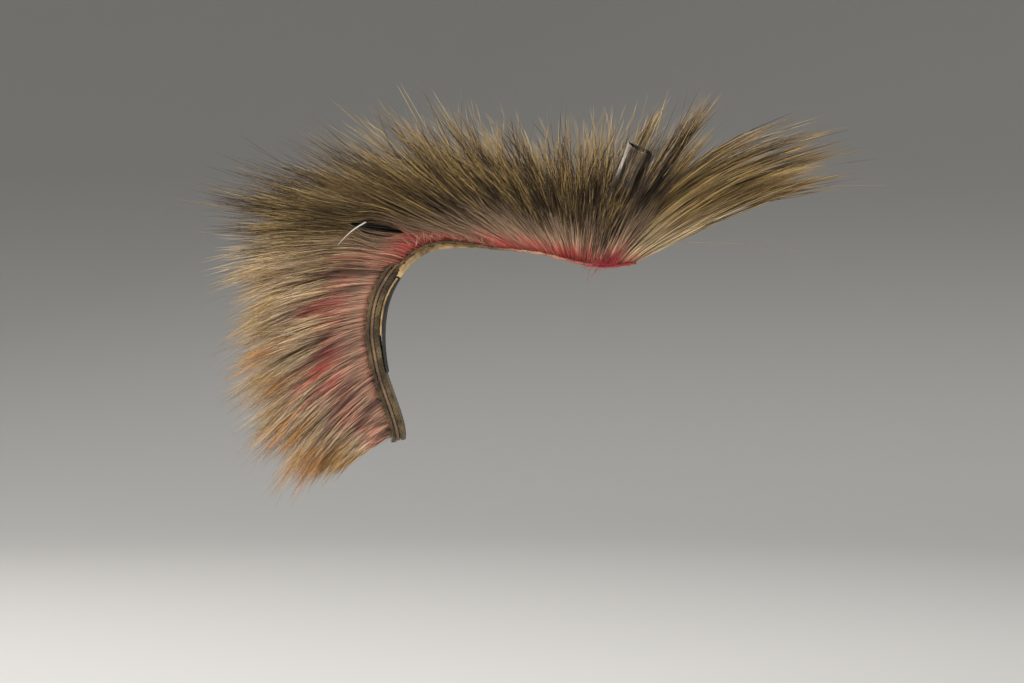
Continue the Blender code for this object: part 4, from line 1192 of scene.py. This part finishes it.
def rootTies():
    # One knot after another along the lower edge: the radius swells and shrinks with the
    # distance, and a thread is wound over it slantwise. Slanted stitches cross both ends.
    inset = -(2 * base["gap"] + hair["fringeOutset"] * 0.9 + 1.35 * ties["diameter"] / 2
              + base["gap"])
    long = 2 * ties["end"] * edgeLength
    count = int(long / ties["knot"] * 7)
    turn = np.linspace(-ties["end"], ties["end"], count)

    def height(share):
        return wallTop(share) + ties["diameter"] * 0.55

    point, outward, up = edgeFrame(turn, inset, height)
    run = np.linspace(0.0, long, count)
    knot = np.abs(np.sin(np.pi * run / ties["knot"])) ** 0.7
    thick = ties["diameter"] / 2 * (0.58 + 0.5 * knot)
    wander = ties["wander"] * np.sin(run * 2 * np.pi / ties["wanderPitch"])
    point = point + up * wander[:, None]
    parts = [tubes(point[None], outward[None], thick[None], 7)]
    a = 2 * np.pi * run / (ties["knot"] * 0.5)
    parts.append(woundThread(point, outward, up, a, thick, ties["thread"]))
    rng = np.random.default_rng(7)
    many = int((ties["end"] - ties["stitchedFrom"]) * edgeLength / stitches["tooth"])
    foot = np.linspace(ties["stitchedFrom"], ties["end"], many)
    reach = ties["stitchLength"] * rng.uniform(*stitches["unlike"], 2 * many)[:, None]
    parts.append(slantStitches(
        np.concatenate([foot, -foot]), inset, height, (-1.0, 1.0),
        lambda t: (reach * t,
                   ties["diameter"] / 2 * (1.0 + 0.4 * np.sin(np.pi * t) - 0.8 * t) + 0.0003)))
    return join(parts)


def tieMaterial(name):
    # Root ends by their place along the head: olive behind, pink tan on the crown, crimson
    # and orange red near the front.
    material, tree, shader = newMaterial(name, roughness=0.8, specular=0.25, sheen=0.25)
    grain = place(tree, yarnGrain, Fibre=1500.0)
    spot = objectSpot(tree)
    x = put(tree, "ShaderNodeSeparateXYZ", {"Vector": spot}).outputs["X"]
    patchy = sums(tree, "SUBTRACT", noise(tree, spot, 240.0, 2.0), 0.5)
    at = sums(tree, "MULTIPLY_ADD", patchy, 0.10, spread(tree, x, -0.10, 0.12))
    colour = ramp(tree, at, ((0.0, (112, 94, 62)), (0.30, (120, 98, 62)), (0.44, (158, 126, 96)),
                             (0.60, (196, 146, 120)), (0.76, (190, 120, 100)),
                             (0.86, (186, 52, 56)), (1.0, (206, 88, 66))))
    dark = blendColours(tree, 1.0, colour, (150, 128, 116), "MULTIPLY")
    share = spread(tree, grain["Shade"], 0.55, 1.3)
    dress(tree, shader, blendColours(tree, share, dark, colour), grain["Rise"], 0.0002)
    return material


tieFinish = tieMaterial("root_tie_fibre")
placePiece("root_ties", rootTies(), tieFinish, ("crown_binding",), smooth=180)


def redThreads():
    # A tuft of red threads over the ties near the front on each side, a few straying below.
    rng = np.random.default_rng(11)
    n = ties["redThreads"]
    side = np.where(rng.random(n) < 0.5, 1.0, -1.0)
    foot = np.clip(rng.normal(*ties["redAt"], n), *ties["redWithin"])
    point, outward, up = edgeFrame(foot * -side, ties["redInset"], lambda s: wallTop(s) + 0.0006)
    t = np.linspace(0.0, 1.0, 6)
    turn = rng.normal(*ties["redTurn"], n)
    back = np.cross(up, outward) * -side[:, None]
    way = np.cos(turn)[:, None] * back + np.sin(turn)[:, None] * up
    way[: n // 12] *= -1.0
    long = rng.uniform(*ties["redLong"], n)
    bow = ties["redBow"] * np.sin(np.pi * t) + 0.0014 * t
    centres = (point[:, None] + way[:, None] * (long[:, None] * t)[..., None]
               + outward[:, None] * (bow + rng.uniform(-0.0004, 0.0006, (n, 1)))[..., None]
               + back[:, None] * (rng.normal(0.0, 0.0015, (n, 1)) * t**2)[..., None])
    return fineStrands(rng, centres, ties["redThick"])


redFinish = fibreMaterial("red_thread", (206, 44, 58), (130, 20, 34), 0.7, 2200.0,
                          (200, 80, 70), bump=0.0001)
placePiece("red_threads", redThreads(), redFinish)

# Pale hairs over the red roots behind the crown, by the share round the edge and along
crossing = {"right": 80, "left": 44, "from": 0.345, "to": 0.52, "thick": 0.00028,
            "slant": (0.014, 0.040), "root": (0.0, 0.06), "reach": (0.05, 0.11),
            "above": 0.0008, "bow": 0.0006}


def crossingHairs():
    # Pale hairs that lie slantwise over the red roots behind the crown, on top of the outer
    # row: their foot moves forward along the edge while their reach grows.
    rng = np.random.default_rng(23)
    look = hairLooks["fringe_back"]
    t = np.linspace(0.0, 1.0, 6)
    parts = []
    for side, n in ((-1, crossing["right"]), (1, crossing["left"])):
        still = {name: np.zeros(n) for name in ("root", "tip", "curl", "lean")}
        start = rng.uniform(crossing["from"], crossing["to"], (n, 1))
        along = start - rng.uniform(*crossing["slant"], (n, 1)) * t
        reach = (rng.uniform(*crossing["root"], (n, 1))
                 + rng.uniform(*crossing["reach"], (n, 1)) * t)
        points, _, free = hairSurface(fringeRows, side, along, reach, still, np.ones(n))
        top = (bankDepth(look, reach) + rng.uniform(0.0, crossing["above"], (n, 1))
               + crossing["bow"] * np.sin(np.pi * t))
        points = points + free * top[..., None]
        if side < 0:
            points = openParting(points, np.ones(n))
        parts.append(fineStrands(rng, points, crossing["thick"] / 2))
    return join(parts)


crossingFinish = fibreMaterial("pale_root_hair", (246, 206, 174), (206, 156, 126), 0.6, 2200.0,
                               (206, 150, 130), bump=0.0001)
placePiece("crossing_hairs", crossingHairs(), crossingFinish)

# The tan hide strip beside the crown
hide = {"from": 0.345, "to": 0.5865, "underlap": 0.0080, "rounding": 0.3}


def crownHide():
    # The strip's section as a closed ring: in under the mat, out past its edge and up the
    # side of the crown, its upper rim and its face uneven along the way.
    share = np.linspace(hide["from"], hide["to"], 110)
    half = base["halfWidth"] * readTable(baseRows, "width", share)
    thick = base["hideThickness"] * readTable(baseRows, "hide", share)
    run = share * base["length"]
    ragged = 0.0004 * np.sin(run * 900) + 0.0003 * np.sin(run * 2300 + 1) - 0.0003
    tall = np.maximum(wallTop(share) + ragged * readTable(baseRows, "wall", share), thick)
    wavy = 0.00018 * np.sin(run * 620 + 2) + 0.0001 * np.sin(run * 1500)
    inner, face = half - hide["underlap"], half + base["gap"]
    outer = face + base["hideThickness"] + wavy
    r = base["hideThickness"] * hide["rounding"]
    ring = [(inner, 0 * share), (0.5 * (inner + outer), 0 * share), (outer - r, 0 * share),
            (outer, r + 0 * share), (outer + wavy, tall * 0.5), (outer, tall - r),
            (outer - r, tall), (face + r, tall), (face, tall - r), (face, 0.5 * (tall + thick)),
            (face, thick), (0.5 * (inner + face), thick), (inner, thick)]
    across = np.stack([a for a, _ in ring], axis=1)
    height = np.maximum(np.stack([h for _, h in ring], axis=1), 0.0)
    verts = basePoint(share[:, None], -across, height)
    index = np.arange(across.size).reshape(across.shape)
    return verts.reshape(-1, 3), [between(index[:-1], index[1:]), index[:1, ::-1], index[-1:]]


def hideMaterial(name, light, dark, scuffed, roughness):
    # Hide: pores and creases in the bump, stains in the colour, scuffs duller and paler.
    material, tree, shader = newMaterial(name, roughness=roughness, specular=0.35)
    grain = place(tree, hideGrain)
    colour = blendColours(tree, grain["Stain"], light, dark)
    colour = stainAndPaintedLight(tree, colour, scuffed, grain["Scuff"], 0.4)
    tree.links.new(spread(tree, grain["Scuff"], 0.0, 1.0, roughness, roughness + 0.2),
                   shader.inputs["Roughness"])
    dress(tree, shader, colour, grain["Rise"], 0.0003, 0.8)
    return material


tanFinish = hideMaterial("tan_hide", (188, 158, 112), (118, 92, 58), (208, 184, 144), 0.6)
darkFinish = hideMaterial("dark_leather", (42, 36, 31), (24, 20, 18), (58, 50, 43), 0.5)
placePiece("crown_hide", crownHide(), tanFinish, ("crown_hide_strip",), smooth=40)
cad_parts["nape_hide_strip"].material_slots[0].material = tanFinish
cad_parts["dark_strip"].material_slots[0].material = darkFinish


def socketTube():
    # The wall of the tube, outside and inside, and the rounded rim. Each point is the foot
    # plus the run along the axis plus the radius, dented by crossing waves. The foot's
    # height at each angle is where the wall meets the plane of the mat. The rim is bent
    # down a little on the right.
    share = np.array(tube["share"])
    _, up = directions(share)
    foot = basePoint(share, 0.0, matTop(share) + base["gap"])
    lean = np.radians(tube["lean"])
    axis = np.array([np.sin(lean), 0.0, np.cos(lean)])
    wide, deep = np.array([np.cos(lean), 0.0, -np.sin(lean)]), np.array([0.0, 1.0, 0.0])
    corners, rings = tube["corners"], tube["rings"]
    angle = 2 * np.pi * np.arange(corners) / corners
    way = np.cos(angle)[:, None] * wide + np.sin(angle)[:, None] * deep
    t = np.linspace(0.0, 1.0, rings)[:, None]
    waves = (np.sin(3 * angle + 5 * t + 1.0) * np.sin(9 * t + 2 * angle)
             + 0.7 * np.abs(np.sin(5 * angle - 8 * t + 2.0)) * np.sin(13 * t + angle)
             + 0.35 * np.sin(9 * angle + 15 * t))
    dent = -tube["dent"] * np.abs(waves) * smooth(0.02, 0.3, t) * (0.35 + 0.65 * t)

    def wall(inward):
        radius = tube["foot"] + (tube["rim"] - tube["foot"]) * t - inward
        start = -(radius[0] * (way @ up)) / (axis @ up)
        lip = tube["length"] - (0.5 * tube["wall"] if inward == 0 else 0.0)
        lip = lip - tube["rimDip"] * smooth(-0.3, 1.0, -np.sin(angle - 0.25))
        rise = start + (lip - start) * t
        size = radius + dent * (1.0 if inward == 0 else 0.9)
        return foot + rise[..., None] * axis + size[..., None] * way

    outer, inner = wall(0.0), wall(tube["wall"])
    middle = 0.5 * (outer[-1] + inner[-1]) + 0.5 * tube["wall"] * axis
    loops = np.concatenate([outer, middle[None], inner[::-1]])
    index = np.arange(loops.shape[0] * corners).reshape(-1, corners)
    faces = between(index, np.roll(index, -1, axis=0))
    # The map marks the inside faces, which the material paints nearly black as shade.
    within = (faces // corners > rings).astype(float).ravel()
    return loops.reshape(-1, 3), [faces], {"inside": np.stack([within, within], axis=-1)}


def metalMaterial(name):
    # Thin tarnished sheet: silvery grey with dark and pale facets of painted light and shade, brown
    # blooms, duller where it bloomed, and painted shade inside, nearly black, where the tube's own
    # map is 1.
    material, tree, shader = newMaterial(name, roughness=0.4, metallic=0.7, specular=0.5)
    tarnishAndShade = place(tree, tarnish, Creases=130.0)
    # Painted light and shade: dark and pale facets, as crinkled metal turned to and from the light.
    colour = blendColours(tree, tarnishAndShade["Facet"], (58, 49, 42), (128, 117, 106))
    colour = stainAndPaintedLight(tree, colour, (76, 62, 50), tarnishAndShade["Bloom"], 0.5)
    colour = stainAndPaintedLight(tree, colour, (206, 190, 166), tarnishAndShade["Scratch"], 0.4)
    # Painted shade: the inside of the tube is nearly black.
    within, _ = mapPlaces(tree, "inside")
    colour = blendColours(tree, within, colour, (40, 35, 31))
    tree.links.new(spread(tree, tarnishAndShade["Bloom"], 0.0, 1.0, 0.34, 0.55), shader.inputs["Roughness"])
    dress(tree, shader, colour, tarnishAndShade["Rise"], 0.0002, 0.5)
    return material


metalFinish = metalMaterial("tarnished_metal")
placePiece("crinkled_tube", socketTube(), metalFinish, ("feather_socket",),
           smooth=50)
print("base dressed")

# Hairs that stray on their own in the photograph, by places from root to tip in metres
# (x, z) with a distance across
strayHairs = (
    ((0.060, -0.003), (0.113, 0.004), (0.156, 0.005), (0.204, -0.005), -0.020),
    ((0.074, 0.002), (0.148, 0.014), (0.176, 0.024), (0.203, 0.047), -0.016),
    ((0.070, 0.005), (0.130, 0.032), (0.190, 0.041), (0.252, 0.040), -0.010),
)
looseHair = {"thick": 0.00032, "taper": 0.6, "rings": 16}


def looseHairs():
    # Each is a Bezier curve: of its four places a, b, c and d, with s = 1 - t, it is
    # s^3 a + 3 s^2 t b + 3 s t^2 c + t^3 d.
    t = np.linspace(0.0, 1.0, looseHair["rings"])[:, None]
    rows = []
    for *spots, across in strayHairs:
        a, b, c, d = np.array([(x, across, z) for x, z in spots])
        rows.append((1 - t) ** 3 * a + 3 * t * (1 - t) ** 2 * b + 3 * t * t * (1 - t) * c
                    + t**3 * d)
    radius = looseHair["thick"] / 2 * (1 - looseHair["taper"] * t[:, 0])
    return tubes(np.stack(rows), np.array([0.3, 1.0, 0.2]), radius, 3, pointed=True)


strayFinish = fibreMaterial("stray_hair", (196, 160, 96), (96, 76, 44), 0.5, 900.0,
                            (190, 160, 110), bump=0.0)
placePiece("stray_hairs", looseHairs(), strayFinish)

# The white quill by the slit, its ends in metres (x, z)
quill = {"root": (-0.0880, 0.0160), "tip": (-0.1058, 0.0014), "across": -0.0345,
         "width": 0.0011, "tipOut": 0.006, "bow": 0.0014, "taper": 0.75,
         "bowWay": (-0.3, 0.0, 0.95)}


def quillSliver():
    # A white shaft, bowed a little, thick at the root and pointed at its tip.
    t = np.linspace(0.0, 1.0, 20)[:, None]
    root = np.array([quill["root"][0], quill["across"], quill["root"][1]])
    tip = np.array([quill["tip"][0], quill["across"] - quill["tipOut"], quill["tip"][1]])
    bow = np.array(quill["bowWay"]) * quill["bow"]
    centres = (root + (tip - root) * t + bow * np.sin(np.pi * t))[None]
    radius = quill["width"] / 2 * (1 - quill["taper"] * t[:, 0])
    return tubes(centres, np.array([0.0, 1.0, 0.0]), radius, 6, pointed=True)


quillFinish = fibreMaterial("white_quill", (222, 218, 208), (196, 190, 176), 0.4, 700.0,
                            (206, 198, 182), bump=0.00005)
placePiece("white_quill", quillSliver(), quillFinish, smooth=180)

# The room: a round pale floor that curves up into a wall, so every side looks alike
room = {"floor": -0.42, "flat": 1.9, "curve": 1.5, "top": 3.0, "sides": 96,
        "pale": (196, 194, 190), "grey": (150, 148, 144), "greyAbove": 0.1}


def makeRoom():
    # A profile turned round the middle: flat out to a radius, a quarter circle, then up.
    bend = np.linspace(0.0, np.pi / 2, 16)
    radius = np.concatenate(([room["flat"] * 0.5], room["flat"] + room["curve"] * np.sin(bend),
                             [room["flat"] + room["curve"]]))[:, None]
    height = room["floor"] + np.concatenate(([0.0], room["curve"] * (1 - np.cos(bend)),
                                             [room["curve"] + room["top"]]))[:, None]
    turn = np.linspace(0.0, 2 * np.pi, room["sides"], endpoint=False)
    ring = np.stack([radius * np.cos(turn), radius * np.sin(turn), height + 0 * turn], axis=-1)
    verts = np.concatenate([ring.reshape(-1, 3), [[0.0, 0.0, room["floor"]]]])
    index = np.arange(ring.size // 3).reshape(ring.shape[:2])
    middle = np.stack([np.full(room["sides"], len(verts) - 1), index[0], np.roll(index[0], -1)],
                      axis=-1)
    return makeMesh("studio", verts, [between(index[:-1], index[1:])[:, ::-1], middle])


studio = bpy.data.objects.new("studio", makeRoom())
bpy.context.scene.collection.objects.link(studio)
studio.data.shade_smooth()
roomFinish, tree, shader = newMaterial("studio_grey", roughness=0.9, specular=0.2)
upward = put(tree, "ShaderNodeSeparateXYZ", {"Vector": objectSpot(tree)}).outputs["Z"]
fading = spread(tree, upward, room["floor"], room["greyAbove"])
tree.links.new(blendColours(tree, fading, room["pale"], room["grey"]),
               shader.inputs["Base Color"])
seen = put(tree, "ShaderNodeNewGeometry").outputs["Backfacing"]
clear = put(tree, "ShaderNodeBsdfTransparent").outputs[0]
mixed = put(tree, "ShaderNodeMixShader", {0: seen, 1: shader.outputs[0], 2: clear}).outputs[0]
tree.links.new(mixed, tree.nodes["Material Output"].inputs["Surface"])
studio.data.materials.append(roomFinish)

lights = (
    # name, place, size, power, colour
    ("key", (-1.1, -1.5, 1.3), 1.0, 42.0, (1.0, 0.98, 0.95)),
    ("fill", (1.4, -1.5, 0.7), 1.3, 22.0, (0.97, 0.98, 1.0)),
    ("top", (0.1, 0.2, 1.7), 1.2, 26.0, (1.0, 1.0, 1.0)),
    ("back", (-1.3, 1.1, 0.9), 1.3, 20.0, (1.0, 0.99, 0.97)),
)
for name, spot, size, power, colour in lights:
    lamp = bpy.data.lights.new(name, "AREA")
    lamp.shape, lamp.size, lamp.energy, lamp.color = "DISK", size, power, colour
    holder = bpy.data.objects.new(name, lamp)
    holder.location = spot
    holder.rotation_euler = (Vector((0.0, 0.0, 0.0)) - Vector(spot)).to_track_quat(
        "-Z", "Y").to_euler()
    holder.visible_camera = False
    bpy.context.scene.collection.objects.link(holder)

world = bpy.data.worlds.new("soft_air")
world.use_nodes = True
world.node_tree.nodes["Background"].inputs["Color"].default_value = (0.9, 0.93, 1.0, 1.0)
world.node_tree.nodes["Background"].inputs["Strength"].default_value = 0.35
bpy.context.scene.world = world

view = {"aim": (0.0080, 0.0, -0.0643), "far": 2.0, "rise": 3.0, "lens": 105.0}
camera = bpy.data.objects.new("camera", bpy.data.cameras.new("camera"))
camera.data.lens = view["lens"]
rise = np.radians(view["rise"])
away = Vector((0.0, -np.cos(rise), np.sin(rise)))
camera.location = Vector(view["aim"]) + away * view["far"]
camera.rotation_mode = "QUATERNION"
camera.rotation_quaternion = (-away).to_track_quat("-Z", "Y")
bpy.context.scene.collection.objects.link(camera)
bpy.context.scene.camera = camera
bpy.context.scene.view_settings.view_transform = "Standard"
print("studio, lights and camera placed;", sum(triangleCounts.values()), "triangles in all")
